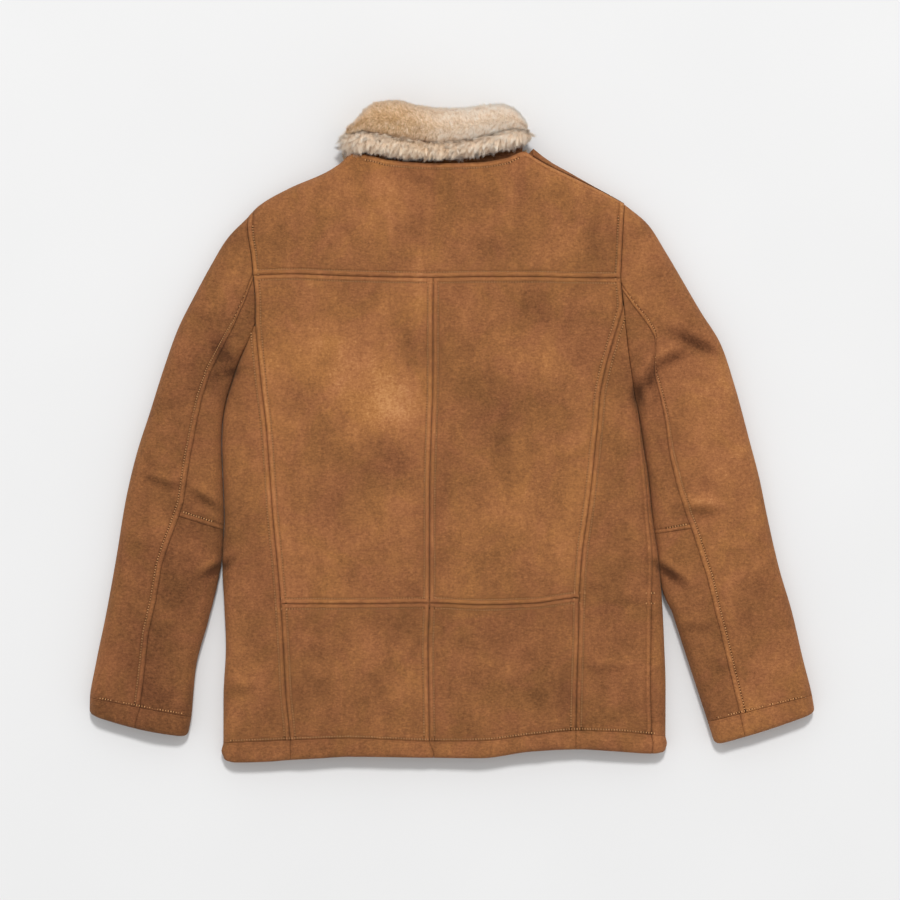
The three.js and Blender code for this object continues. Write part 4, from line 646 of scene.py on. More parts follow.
def side_panel(name, side, seam, top, bottom):
    """A side panel of the back, from its curved seam to the side fold, and on the left round it."""
    left, hem = side == "left", bottom == HEM_EDGE_Y
    inward = 1 if left else -1
    rows = body_rows(top, bottom, near_top=top != SIDE_TOP[side])
    r = rows[:, 0]
    fold_x = (body_line(side, r) + inward * HALF_GAP * (1 - armpit_closed(side, r)))[:, None]
    seam_x = (body_line(seam, r) - inward * HALF_GAP)[:, None]
    wraps = (r <= OPEN_END["right"]) & (not left)
    end = np.where(wraps, side_path(r) + HALF_GAP, 0)[:, None]
    bend = np.maximum(np.minimum(QUARTER, np.abs(seam_x - fold_x) * NARROW_BEND), end + BEND_CLEAR)
    bend_x = fold_x + inward * fold_reach(bend)
    near = SEAM_NEAR * np.clip(np.abs(seam_x - bend_x) / (1.5 * SEAM_NEAR[-1]), 0, 1)
    start_x = seam_x - inward * near
    even = steps(0, 1, PITCH / 60)[1:]
    flat_x = np.concatenate([start_x, lerp(start_x[:, -1:], bend_x, even)], axis=1)
    path = lerp(bend, end, np.linspace(0, 1, 10)[1:])
    x = np.concatenate([flat_x, fold_x + inward * fold_reach(path)], axis=1)
    y = body_y(x, rows) + seam_inset(rows, top, bottom)
    to_seam = np.abs(x - seam_x)
    to_side = np.concatenate([np.abs(flat_x - bend_x) + bend - end, path - end], axis=1)
    to_side = np.where(wraps[:, None], to_side, FAR)
    seams, far = np.minimum(to_seam, to_side), 0 * x
    worked_to = (None, seams, top - rows + far) if hem else (seams, None, rows - bottom + far)
    back = back_sheet(x, y, rows, top, bottom, *worked(x, y, *worked_to))
    sheets = [flipped(back) if left else back]
    if left:
        closed = rows[r <= OPEN_END["left"]]
        k = np.flatnonzero(r <= OPEN_END["left"])
        path = np.linspace(1, 0, 5) * (side_path(closed) - HALF_GAP)
        x = fold_x[k] + fold_reach(path)
        y = body_y(x, closed) + seam_inset(closed, top, bottom)
        outer, inner = front_point(x, y, closed, side)
        tone = clouds(x, y) - 0.05
        if hem:
            outer, inner, tone = turned_edge(outer, inner, tone, hem_reach(x[0], closed[0]))
        sheets.append((outer, inner, tone))
    wall(name, sheets)


# Columns of a front panel: 0 to 1 is round the fold, 1 to 2 is on to the overlap, and the rest lie in it.
FRONT_COLUMNS = np.array([0, 0.2, 0.4, 0.6, 0.8, *steps(1, 2, 1 / 14), 3, 4, 5])
LOWER_START, UPPER_START = LAP["left"] - LAP_EDGES["lower"], LAP["right"] + LAP_EDGES["upper"]
LAP_MIDDLE = (LAP["left"] + LAP["right"]) / 2
LAP_STOPS = {
    "left": [LOWER_START, LOWER_START + LAP_EDGES["lower_ease"], LAP_MIDDLE, LAP["right"]],
    "right": [UPPER_START, UPPER_START - LAP_EDGES["upper_ease"], LAP_MIDDLE, LAP["left"]],
}
# Creases pressed into the underside, where the suede stands a little off what it lies on.
UNDER_CREASES = columns(
    "x y turn length width rise",
    (-180, 60, -62, 120, 9, 2.2), (-150, -90, 24, 110, 10, 2), (-210, -250, 70, 130, 9, 1.8),
    (-110, -330, -12, 90, 9, 1.6), (120, 40, 58, 130, 9, 2.2), (160, -70, -20, 100, 10, 2),
    (110, -200, 74, 120, 9, 1.8), (190, -320, -30, 100, 9, 1.6), (-120, 170, 40, 80, 9, 1.6),
    (130, 180, -44, 80, 9, 1.6), (-350, -60, 64, 90, 8, 2), (-390, -220, 10, 60, 8, 1.8),
    (330, -40, -60, 90, 8, 2), (380, -250, -8, 60, 8, 1.8), (-330, 80, 30, 80, 8, 1.6),
    (310, 90, -34, 80, 8, 1.6),
)


def under_rise(x, y):
    """How far the suede on the underside stands off the ground."""
    rise = np.clip(unevenness(x, y) - 0.5, 0, None) * 0.8
    for along, across, long, wide, high in marks(UNDER_CREASES, x, y):
        rise = rise + high * np.exp(-((along / (long / 2)) ** 2) - (across / wide) ** 2)
    return rise


def front_top(x):
    """Top of a front panel: the shoulder's fold, or the neckline between the shoulders."""
    neck = (FRONT_NECK["x"][0] < x) & (x < FRONT_NECK["x"][-1])
    return np.where(neck, np.interp(x, FRONT_NECK["x"], FRONT_NECK["y"]), fold_top(x))


def column_place(plan_x, rule):
    """Points of columns at the height that a rule gives from the column's own top."""
    x = plan_x(np.full(1, float(YOKE_Y)))
    for _ in range(8):
        y = rule(x)
        x = plan_x(y)
    return x, y


def yoke_path(x):
    """Length along the cloth from the shoulder fold's edge to the yoke's own edge, behind the right fold."""
    reach = (fold_top(x) - curve(x, TOP, "x", "yoke")) * SHOULDER_COS
    path = FOLD_R * np.arccos(1 - np.clip(reach / FOLD_R, 0, 1))
    return np.where(x > STRIP_FROM, np.maximum(path, SEAM_LEAST), path)


def front_panel(name, side, top, bottom):
    """Half of the front, on the underside, with what goes round a fold to the back."""
    left, hem = side == "left", bottom == HEM_EDGE_Y
    inward, stops = (1 if left else -1), LAP_STOPS[side]
    rows = body_rows(top, bottom, near_top=hem)
    seam_top = top if hem else math.inf  # above its nominal top a front goes on without a seam

    def start_path(y):
        return np.where((y <= OPEN_END["left"]) & left, side_path(y) + HALF_GAP, 0)

    def edge_x(y):
        return body_line(side, y) + inward * HALF_GAP * (1 - armpit_closed(side, y))

    def plan_x(y, c=FRONT_COLUMNS):
        start = start_path(y)
        bend = np.maximum(QUARTER, start + BEND_CLEAR)
        round_fold = edge_x(y) + inward * fold_reach(lerp(start, bend, np.clip(c, 0, 1)))
        on = lerp(edge_x(y) + inward * fold_reach(bend), stops[0], np.clip(c - 1, 0, 1))
        return np.where(c <= 1, round_fold, np.where(c <= 2, on, np.interp(c, [2, 3, 4, 5], stops)))

    x = plan_x(rows)
    y = body_y(x, rows) + seam_inset(rows, seam_top, bottom)
    outer, inner = front_point(x, y, rows, side, under_rise(x, y))
    tone = clouds(x, y) + UNDER_SHADE
    if hem:
        main = turned_edge(outer, inner, tone, hem_reach(x[0], rows[0]))
    else:
        bend = FOLD_R / SHOULDER_COS
        rules = [lambda x, s=s: lerp(YOKE_Y, front_top(x) - bend, s) for s in steps(0, 1, 0.09)[1:]]
        rules += [
            lambda x, p=p: front_top(x) - fold_reach(p) / SHOULDER_COS for p in np.linspace(QUARTER, 0, 7)[1:]
        ]
        chest = []
        for i, rule in enumerate(rules):
            x, y = column_place(plan_x, rule)
            o, n = front_point(x, y, y, side, under_rise(x, y) if i < len(rules) - 7 else 0)
            if i == len(rules) - 1 and left:
                drop = np.where(closed_top(x) > 0.5, SHOULDER_GAP, 0)
                o[:, 2] -= drop
                n[:, 2] -= drop
            chest.append((o, n, clouds(x, y) + UNDER_SHADE))
        main = tuple(np.concatenate([a, np.stack(b)]) for a, b in zip((outer, inner, tone), zip(*chest)))
    sheets = [flipped(main) if left else main]
    if not left and not hem:
        strip_columns = FRONT_COLUMNS[plan_x(np.full(1, float(YOKE_Y))) > STRIP_FROM][::-1]
        strip = []
        for share in np.linspace(1, 0, 7):

            def rule(x, share=share):
                path = np.maximum(yoke_path(x) - SHOULDER_GAP, 0.5) if share == 1 else share * yoke_path(x)
                return fold_top(x) - fold_reach(path) / SHOULDER_COS

            x, y = column_place(lambda y: plan_x(y, strip_columns), rule)
            o, n = back_point(x, y, y, -1.0 if share == 1 else 0)
            # The strip is darker than the back, and most at its row by the yoke's edge, where the darkening is painted
            # shade in the seam's gap.
            strip.append((o, n, clouds(x, y) - (0.3 if share == 1 else 0.1)))
        sheets.append(tuple(np.stack(part) for part in zip(*strip)))
    if not left:
        closed = rows[rows[:, 0] <= OPEN_END["right"]]
        share = np.linspace(1, 0, 7)
        path = share * (side_path(closed) - HALF_GAP)
        x = edge_x(closed) + inward * fold_reach(path)
        y = body_y(x, closed) + seam_inset(closed, seam_top, bottom)
        relief, tone = worked(x, y, None, side_path(closed) - path)
        sheets.append(back_sheet(x, y, closed, top, bottom, relief, tone))
    wall(name, sheets)


def yoke_panel():
    """The yoke, from its seam to the shoulder folds and the neck."""
    shares = across_panel([0], [YOKE_WIDE])[0] / YOKE_WIDE

    def edge(side, y):
        return body_line(side, y) + (HALF_GAP if side == "left" else -HALF_GAP)

    def seam_y(x):
        return body_y(x, YOKE_Y) + HALF_GAP

    def bend_y(x):
        return fold_top(x) - FOLD_R / SHOULDER_COS

    def fold_rule(t, more=0.0):
        return lambda x: fold_top(x) - np.maximum(fold_reach(lerp(yoke_path(x), QUARTER, t) + more), 0) / SHOULDER_COS

    near = SEAM_NEAR
    rules = [lambda x, d=d: seam_y(x) + d for d in near]
    rules += [lambda x, s=s: lerp(seam_y(x) + near[-1], bend_y(x), s) for s in steps(0, 1, 0.05)[1:]]
    rules += [fold_rule(t) for t in np.linspace(1, 0, 15)[1:]]
    rows = []
    for i, rule in enumerate(rules):
        last = i == len(rules) - 1
        x, y = column_place(lambda y: lerp(edge("left", y), edge("right", y), shares), rule)
        opening = 1 - closed_top(x)
        armhole = np.minimum(x - edge("left", y), edge("right", y) - x)
        neck = curve(x, TOP, "x", "yoke") - y
        relief, tone = worked(x, y, np.minimum(y - seam_y(x), armhole))
        # Painted shade along the armhole's stitch line.
        relief, tone = relief - 0.5 * bump(armhole, TWIN, 1), tone - 0.1 * bump(armhole, TWIN, 1)
        rolled_edge = 1.3 * bump(neck, 3.5, 2.2) - 0.9 * bump(neck, RIM_ROW, 0.9)
        relief = relief + opening * (rolled_edge - 0.8 * rim_drop(neck))
        # Painted highlight on the rolled neck edge, and painted shade along its stitch line.
        tone = tone + opening * (0.14 * bump(neck, 3.6, 2.2) - 0.1 * bump(neck, RIM_ROW, 1))
        on_strip = np.where(x > STRIP_FROM, neck, FAR)
        relief = relief + seam_relief(on_strip)
        # Painted highlight on the welt by the strip's seam, and painted shade in the seam.
        tone = tone + 0.12 * bump(on_strip, 2.6, 2) - 0.1 * bump(on_strip, 0, 0.9)
        if last:
            strip = x > STRIP_FROM
            y = np.where(strip, y - SHOULDER_GAP, y)
        o, n = back_point(x, y, y, relief)
        if last:
            lift = np.where(~strip & (opening < 0.5), SHOULDER_GAP, 0)
            o[:, 2] += lift
            n[:, 2] += lift
        rows.append((o, n, tone))
    sheet = tuple(np.stack(part) for part in zip(*rows))
    wall("back_yoke", [sheet])


for side_table in SLEEVES.values():
    side_table["at"] = np.arange(len(side_table["sag"]), dtype=float)
SLEEVE_STEPS = {side: np.linspace(0, table["at"][-1], 600) for side, table in SLEEVES.items()}


def sleeve_run(side):
    """Length along the middle of a sleeve at each of its fine steps."""
    table, at = SLEEVES[side], SLEEVE_STEPS[side]
    mid = [(curve(at, table, "at", f"outer_{c}") + curve(at, table, "at", f"inner_{c}")) / 2 for c in "xy"]
    return np.concatenate([[0], np.cumsum(np.hypot(*(np.diff(c) for c in mid)))])


def sleeve_line(side, at):
    """A sleeve's lines across at places between the rows of its table."""
    table = SLEEVES[side]
    at = np.asarray(at, float)

    def get(name, where=at):
        return curve(where, table, "at", name)

    inner_y = get("inner_y")
    outward = -1 if side == "left" else 1
    beside = body_line(side, inner_y) + outward * SLEEVE_GAP
    leave, away = BESIDE_END[side]
    inner_x = lerp(beside, get("inner_x"), np.clip((leave - inner_y) / (leave - away), 0, 1))
    outer = np.stack([get("outer_x"), get("outer_y")], axis=-1)
    along = np.stack([inner_x, inner_y], axis=-1) - outer
    width = np.linalg.norm(along, axis=-1)

    def square(name):
        low, high = np.clip(at - 0.5, 0, table["at"][-1]), np.clip(at + 0.5, 0, table["at"][-1])
        run = np.stack([get(f"{name}_{c}", high) - get(f"{name}_{c}", low) for c in "xy"], axis=-1)
        run, across = unit(run), unit(along)
        return np.maximum(SQUARE_LEAST, np.abs(across[..., 0] * run[..., 1] - across[..., 1] * run[..., 0]))

    return {
        "at": at, "outer": outer, "along": along, "width": width, "seam": seam_share(side, at), "sag": get("sag"),
        "square_outer": square("outer"), "square_inner": square("inner"), "closed": armpit_closed(side, inner_y),
    }


def sleeve_plan(side, line, reach):
    """Place in the plan at a distance across a sleeve from its outer fold."""
    share = reach / line["width"]
    p = line["outer"] + line["along"] * share[..., None]
    x, y = p[..., 0], p[..., 1] - line["sag"] * np.sin(math.pi * np.clip(share, 0, 1))
    first = SLEEVES[side]
    start = np.array([first["outer_x"][0], first["outer_y"][0]])
    across = np.array([first["inner_x"][0], first["inner_y"][0]]) - start
    x0, y0 = start[0] + across[0] * share, start[1] + across[1] * share
    armhole = body_line(side, y0) + (-SLEEVE_GAP if side == "left" else SLEEVE_GAP)
    return x + (armhole - x0) * np.clip(1 - line["at"], 0, 1), y


def sleeve_point(side, line, reach, layer, relief=0.0):
    """Outer and inner points of a sleeve's wall, and their place in the plan."""
    into_outer, flat_outer = fold_shape(reach * line["square_outer"], np.ones(reach.shape))
    into_inner, flat_inner = fold_shape((line["width"] - reach) * line["square_inner"], line["closed"] + 0 * reach)
    flat = flat_outer * flat_inner
    x, y = sleeve_plan(side, line, reach)
    shift = WALL * (into_outer / line["square_outer"] - into_inner / line["square_inner"])
    inner_x, inner_y = sleeve_plan(side, line, reach + shift)
    q = (reach / line["width"]) * 2 - 1
    if layer == "back":
        crown = SLEEVE_CROWN * (1 - q**4) * smooth(line["at"] / 2)
        surface = relief + unevenness(x, y) * smooth(line["at"]) - troughs(x, y)
        outer_z = FOLD_R + (FOLD_R + crown + surface) * flat
    else:
        outer_z = FOLD_R - FOLD_R * flat + under_rise(x, y) * flat * smooth(line["at"])
    inner_z = FOLD_R + (SLIT_R if layer == "back" else -SLIT_R) * flat
    return points(x, y, outer_z), points(inner_x, inner_y, inner_z)


SEAM_SHARES = {}


def seam_share(side, at):
    """Share across a sleeve at which its back seam lies."""
    if side not in SEAM_SHARES:
        SEAM_SHARES[side] = None  # the lines below need no seam
        fine = SLEEVE_STEPS[side][::6]
        line, share = column_of(sleeve_line(side, fine)), np.linspace(0.12, 0.93, 240)
        x, y = sleeve_plan(side, line, share * line["width"])
        seam = SLEEVE_SEAMS[side]
        past = np.interp(y, seam["y"][::-1], seam["x"][::-1]) - x
        inside = past * (-1 if side == "left" else 1) < 0
        SEAM_SHARES[side] = fine, share[np.argmin(inside, axis=1)]
    found = SEAM_SHARES[side]
    return np.full(at.shape, 0.5) if found is None else np.interp(at, *found)


def column_of(line):
    """The same lines as columns, for points across each of them."""
    return {key: value[:, None] for key, value in line.items()}


def sleeve_piece(name, side, part, start, end):
    """One piece of a sleeve or cuff, on the outer or the under side of the back seam."""
    left, outer_side = side == "left", part == "outer"
    last = SLEEVES[side]["at"][-1]
    run = sleeve_run(side)
    a, b = np.interp([start, end], SLEEVE_STEPS[side], run)
    turned = end == last
    low = a + (SEAM_NEAR + HALF_GAP if start > 0 else SEAM_NEAR)
    high = np.array([b - ROLL_R]) if turned else b - HALF_GAP - SEAM_NEAR
    far = np.unique(np.concatenate([low, steps(low[-1], high.min(), PITCH), high]).round(4))
    line = column_of(sleeve_line(side, np.interp(far, run, SLEEVE_STEPS[side])))

    def fold(path):
        if outer_side:
            return fold_reach(path) / line["square_outer"]
        return line["width"] - fold_reach(path) / line["square_inner"]

    seam_reach = line["seam"] * line["width"] + (-HALF_GAP if outer_side else HALF_GAP)
    bend = fold(QUARTER)
    way = 1 if outer_side else -1
    room = np.abs(seam_reach - bend)
    near = SEAM_NEAR[::-1] * np.clip(room / (1.5 * SEAM_NEAR[-1]), 0.02, 1)
    to_near = lerp(bend, seam_reach - way * near[:, :1], steps(0, 1, PITCH / max(20, float(room.max())))[1:-1])
    reach = np.concatenate([fold(np.linspace(0, QUARTER, 8)), to_near, seam_reach - way * near], axis=1)
    x, y = sleeve_plan(side, line, reach)
    to_seam = np.abs(reach - seam_reach)
    to_start, to_end = (far - a)[:, None] + 0 * reach, (b - far)[:, None] + 0 * reach
    wide = np.full(reach.shape, float(FAR))
    if start == CUFF[side]:  # a cuff
        relief, tone = worked(x, y, None, to_seam, to_start)
        relief = relief + 1.6 * np.sin(math.pi * np.clip(to_start / (b - a), 0, 1)) ** 0.8
        tone = tone + 0.05
    else:
        elbow = to_end if end == ELBOW[side] else to_start if start == ELBOW[side] else wide
        armhole = to_start if start == 0 else wide
        band = to_end if end == CUFF[side] else wide
        if outer_side:
            relief, tone = worked(x, y, to_seam, armhole, band, row=SLEEVE_TWIN)
            # Painted shade along the back seam's stitch line.
            relief, tone = relief - 0.5 * bump(to_seam, SLEEVE_TWIN, 1), tone - 0.08 * bump(to_seam, SLEEVE_TWIN, 1)
        else:
            relief, tone = worked(x, y, None, np.minimum(armhole, to_seam), band)
            if end == ELBOW[side]:
                # Painted highlight on the elbow seam's welt, and painted shade in the seam and along its stitch line.
                relief, tone = relief + seam_relief(elbow, SLEEVE_TWIN), tone + 0.12 * bump(elbow, 3.4, 2)
                tone = tone - 0.06 * bump(elbow, 0, 1) - 0.14 * bump(elbow, SLEEVE_TWIN, 1)
            else:
                # Painted shade in the plain elbow seam's groove.
                relief, tone = relief + plain_relief(elbow), tone - 0.04 * bump(elbow, 0, 1.1)
    outer, inner = sleeve_point(side, line, reach, "back", relief)

    from_fold = np.maximum(FRONT_SEAM_IN, FOLD_R / line["square_inner"] + BEND_CLEAR)
    front_reach = line["width"] - from_fold + (-HALF_GAP if outer_side else HALF_GAP)
    beneath = steps(0, 1, 1 / 10 if outer_side else 1 / 3)[1:]
    reach_under = np.concatenate([fold(np.linspace(0, QUARTER, 8)), lerp(bend, front_reach, beneath)], axis=1)
    under_outer, under_inner = sleeve_point(side, line, reach_under, "front")
    under_tone = clouds(*sleeve_plan(side, line, reach_under)) + UNDER_SHADE
    sheets = []
    for o, n, t, r in ((outer, inner, tone, reach), (under_outer, under_inner, under_tone, reach_under)):
        # Rows run towards the hand, so they go up in the plan once reversed.
        o, n, t = o[::-1], n[::-1], np.broadcast_to(t, o.shape[:2])[::-1]
        if turned:
            tip = sleeve_line(side, np.full(1, last))
            ends = np.stack(sleeve_plan(side, column_of(tip), r[-1:] * tip["width"] / line["width"][-1]), axis=-1)[0]
            base = np.stack(sleeve_plan(side, {k: v[-1:] for k, v in line.items()}, r[-1:]), axis=-1)[0]
            o, n, t = turned_edge(o, n, t, ends - base)
        sheets.append((o, n, t))
    at_left = left == outer_side
    back = sheets[0] if at_left else flipped(sheets[0])
    front = flipped(sheets[1]) if at_left else sheets[1]
    wall(name, [back, front])


# ---- Collar ----


def collar_at(x, name):
    return curve(x, COLLAR, "x", name)


def bow(y, z, ry, rz, start, end, count):
    """Part of an ellipse across and up: degrees from the collar's crest side, 90 is up."""
    a = np.radians(np.linspace(start, end, count + 1))
    return [(y + ry * math.cos(t), z + rz * math.sin(t)) for t in a]


def stand_end(x):
    """How far up the plan the collar's stand goes under the rolls."""
    crease, crest = collar_at(x, "crease"), collar_at(x, "crest")
    centre = crest - min(ROLL_TOP * collar_at(x, "size") / 2, (crest - crease) * ROLL_SHARE)
    return lerp(crease, centre, STAND_SHARE)


def fall_section(x):
    """Ring of the upper roll, which turns over its crest and down behind the stand."""
    crease, crest, size = (float(collar_at(x, n)) for n in ("crease", "crest", "size"))
    top = ROLL_TOP * size
    turn = min(top / 2, (crest - crease) * ROLL_SHARE)
    centre, floor, gap = crest - turn, STAND_TOP * size, FUR_GAP * size
    crease_z, seam = min(CREASE_TOP * size, top - 2), stand_end(x) + 2 * HALF_GAP
    return [
        *bow(centre, top / 2, turn, top / 2, -90, 90, 26),
        (lerp(crease, centre, 0.72), top - gap * 0.16), (lerp(crease, centre, SHOULDER_SHARE), top - gap / 2),
        (lerp(crease, centre, 0.22), lerp(crease_z, top, 0.7)), (lerp(crease, centre, 0.07), lerp(crease_z, top, 0.32)),
        (crease + HALF_GAP, crease_z), (crease + HALF_GAP, lerp(crease_z, floor, 0.5)),
        (crease + HALF_GAP, floor + gap), (lerp(crease, centre, 0.5), floor + gap), (centre, floor + gap),
        *bow(centre, floor + gap / 2, turn * HOLLOW_SHARE, gap / 2, 60, -60, 2),
        (centre, floor), (seam, floor), (seam, floor / 2), (seam, 0),
    ]


def edge_section(x):
    """Ring of the lower roll."""
    lower, crease, size = (float(collar_at(x, n)) for n in ("lower", "crease", "size"))
    floor = (STAND_TOP + FUR_GAP) * size
    half, middle = (EDGE_TOP * size - floor) / 2, (lower + crease) / 2
    return [
        (crease - HALF_GAP, floor), (crease - HALF_GAP, min(CREASE_TOP, EDGE_TOP - 2) * size),
        (lerp(middle, crease, 0.8), (EDGE_TOP - 5) * size), (lerp(middle, crease, 0.5), EDGE_TOP * size - 1.6),
        *bow(middle, floor + half, middle - lower, half, 90, 270, 18), (lerp(middle, crease, 0.5), floor),
    ]


def stand_section(x):
    """Ring of the suede stand, from the yoke's neck edge up under the rolls."""
    size = float(collar_at(x, "size"))
    neck, end = float(curve(x, TOP, "x", "yoke")) + 2 * HALF_GAP, float(stand_end(x))
    lift = float(leaf_lift(x, neck))
    top, edge = STAND_TOP * size - 2 * HALF_GAP, 2 * FOLD_R + lift - RIM_ROUND
    return [
        (neck, FOLD_R + SLIT_R + lift), (neck + STAND_FOOT, FOLD_R - 1), (end - SLIT, 0), (end, 0), (end, top),
        (neck + STAND_FOOT + 1, top), (neck + STAND_FOOT / 2, lerp(top, edge, 0.5)), (neck, edge - 1),
    ]


def collar_piece(name, section, ends, finish, slot, tone):
    """A closed piece of the collar through rings of points, one for each place along it."""
    rings = np.array([[(x, *p) for p in section(x)] for x in steps(*ends, RING_STEP)])
    bm = bmesh.new()
    layer = bm.verts.layers.float.new("tone")
    closed = np.concatenate([rings, rings[:, :1]], axis=1)
    for v, p in zip(grid_points(bm, *closed.shape[:2]), closed.reshape(-1, 3)):
        v.co = p * MM
        v[layer] = tone(p[0]) if callable(tone) else tone
    bmesh.ops.remove_doubles(bm, verts=bm.verts, dist=JOIN * MM)
    area = sum(f.calc_area() for f in bm.faces)
    rims = [e for e in bm.edges if e.is_boundary]
    bmesh.ops.holes_fill(bm, edges=rims, sides=0)
    bmesh.ops.triangulate(bm, faces=[f for f in bm.faces if len(f.verts) > 4])
    bmesh.ops.recalc_face_normals(bm, faces=bm.faces)
    made = piece(f"{name}_skin", bm, (finish,), slot)
    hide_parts(name)
    girth = float(np.linalg.norm(np.diff(closed, axis=1), axis=2).sum(axis=1).max()) * MM
    return made, rings, area / 2, girth / 2, (ends[1] - ends[0]) * MM


def strand_template():
    """One lock of wool: a thin tapered tube on three sides, a unit high."""
    bm = bmesh.new()
    middle = Matrix.Translation((0, 0, 0.5))
    bmesh.ops.create_cone(bm, cap_ends=False, segments=3, radius1=1, radius2=0, depth=1, matrix=middle)
    bmesh.ops.bisect_plane(bm, geom=[*bm.verts, *bm.edges, *bm.faces], plane_co=(0, 0, 0.5), plane_no=(0, 0, 1))
    bmesh.ops.remove_doubles(bm, verts=bm.verts, dist=1e-5)
    bmesh.ops.triangulate(bm, faces=bm.faces)
    return template_arrays(bm)


def stitch_template():
    """One stitch: a rounded dash a unit long each way from its middle."""
    bm = bmesh.new()
    bmesh.ops.create_icosphere(bm, subdivisions=1, radius=1)
    return template_arrays(bm)


def template_arrays(bm):
    bm.verts.ensure_lookup_table()
    co = np.array([v.co[:] for v in bm.verts])
    faces = np.array([[v.index for v in f.verts] for f in bm.faces])
    bm.free()
    return co, faces


def repeated(name, template, places, finish, slot, attributes, normals=None):
    """One piece of many copies of a template. Places has the points of each copy, and normals how they catch light."""
    faces = template[1]
    count, size = places.shape[:2]
    corners = (faces[None] + np.arange(count)[:, None, None] * size).reshape(-1)
    mesh = bpy.data.meshes.new(name)
    mesh.vertices.add(count * size)
    mesh.vertices.foreach_set("co", (places * MM).reshape(-1))
    mesh.loops.add(len(corners))
    mesh.loops.foreach_set("vertex_index", corners)
    mesh.polygons.add(count * len(faces))
    mesh.polygons.foreach_set("loop_start", np.arange(0, len(corners), 3))
    mesh.update(calc_edges=True)
    for key, values in attributes.items():
        layer = mesh.attributes.new(key, "FLOAT", "POINT")
        layer.data.foreach_set("value", np.broadcast_to(values, (count, size)).astype(float).reshape(-1))
    made = piece(name, mesh, (finish,), slot)
    if normals is not None:
        mesh.normals_split_custom_set_from_vertices(np.broadcast_to(normals, places.shape).reshape(-1, 3))
    return made


def unit(v):
    return v / np.maximum(np.linalg.norm(v, axis=-1, keepdims=True), 1e-9)


def bilinear(grid, u, v):
    """Values of a grid at fractional rows u and columns v."""
    i = np.clip(u.astype(int), 0, grid.shape[0] - 2)
    j = np.clip(v.astype(int), 0, grid.shape[1] - 2)
    s, t = (u - i)[:, None], (v - j)[:, None]
    low = lerp(grid[i, j], grid[i, j + 1], t)
    return lerp(low, lerp(grid[i + 1, j], grid[i + 1, j + 1], t), s)


def pile(name, rings, count, seed, length, combs, radius, clump, droop, span, warmth):
    """Locks of wool that grow from part of a roll of the collar. Span is the first and last point of its rings, and
    combs the way that the wool lies on most of it and by its last point."""
    rng = np.random.default_rng(seed)
    skin = rings[:, span[0] : span[1] + 1]
    along = np.gradient(skin, axis=0)
    up = np.gradient(skin, axis=1)
    normals = unit(np.cross(along, up))
    outward = skin - rings.mean(axis=1, keepdims=True)
    normals *= np.sign((normals * outward).sum(axis=-1).mean())
    size = np.linalg.norm(np.diff(skin, axis=1), axis=-1).mean(axis=0)
    reach = np.concatenate([[0], np.cumsum(size)])
    u = rng.uniform(0, skin.shape[0] - 1.001, count)
    v = np.interp(rng.uniform(0, reach[-1], count), reach, np.arange(len(reach)))
    root, normal = bilinear(skin, u, v), unit(bilinear(normals, u, v))
    comb = lerp(np.array(combs[0], float), np.array(combs[1], float), smooth((v / skin.shape[1] - 0.62) / 0.2)[:, None])
    lie = unit(comb - normal * (normal * comb).sum(axis=1, keepdims=True) + rng.normal(0, WOOL_SPREAD, (count, 3)))
    long = length * rng.uniform(0.65, 1.25, count)[:, None]
    way = unit(normal * (1 - clump["lay"]) + lie * clump["lay"])
    middle = root + way * long * 0.5
    tip = root + way * long * 0.85 + lie * long * 0.3
    # Locks near each other lean together into clumps.
    cells = max(2, count // clump["locks"])
    heads = rng.choice(count, cells, replace=False)
    nearest = np.empty(count, int)
    for part in np.array_split(np.arange(count), max(1, count // 1500)):
        gap = np.linalg.norm(root[part, None] - root[None, heads], axis=-1)
        nearest[part] = heads[gap.argmin(axis=1)]
    pull = clump["pull"] * rng.uniform(0.6, 1.1, count)[:, None]
    middle = lerp(middle, middle[nearest], pull * 0.35)
    tip = lerp(tip, tip[nearest] + way[nearest] * long * 0.08, np.clip(pull, 0, 0.95))
    middle[:, 2] -= droop * 0.2 * long[:, 0]
    tip[:, 2] -= droop * long[:, 0]
    root = root - normal * 0.6
    t = STRAND[0][:, 2][None, :, None]
    bend = (2 * middle - (root + tip) / 2)[:, None]
    centre = root[:, None] * (1 - t) ** 2 + 2 * bend * t * (1 - t) + tip[:, None] * t**2
    axis = unit(tip - root)
    side_way = unit(np.cross(axis, normal + 1e-3))
    other = np.cross(axis, side_way)
    thick = (radius * rng.uniform(0.7, 1.3, count))[:, None, None]
    ring = STRAND[0][None, :, :2] * thick
    places = centre + side_way[:, None] * ring[..., :1] + other[:, None] * ring[..., 1:]
    places[..., 2] = np.maximum(places[..., 2], 0.3)
    shade = warmth(root[:, 0]) + rng.normal(0, 0.09, count)
    shade = shade + 0.25 * (rng.random(cells)[np.searchsorted(np.sort(heads), nearest)] - 0.5)
    lit = unit(normal + 0.35 * way)[:, None]
    return repeated(name, STRAND, places, fur, "fur", {"tip": STRAND[0][:, 2], "warmth": shade[:, None]}, lit)


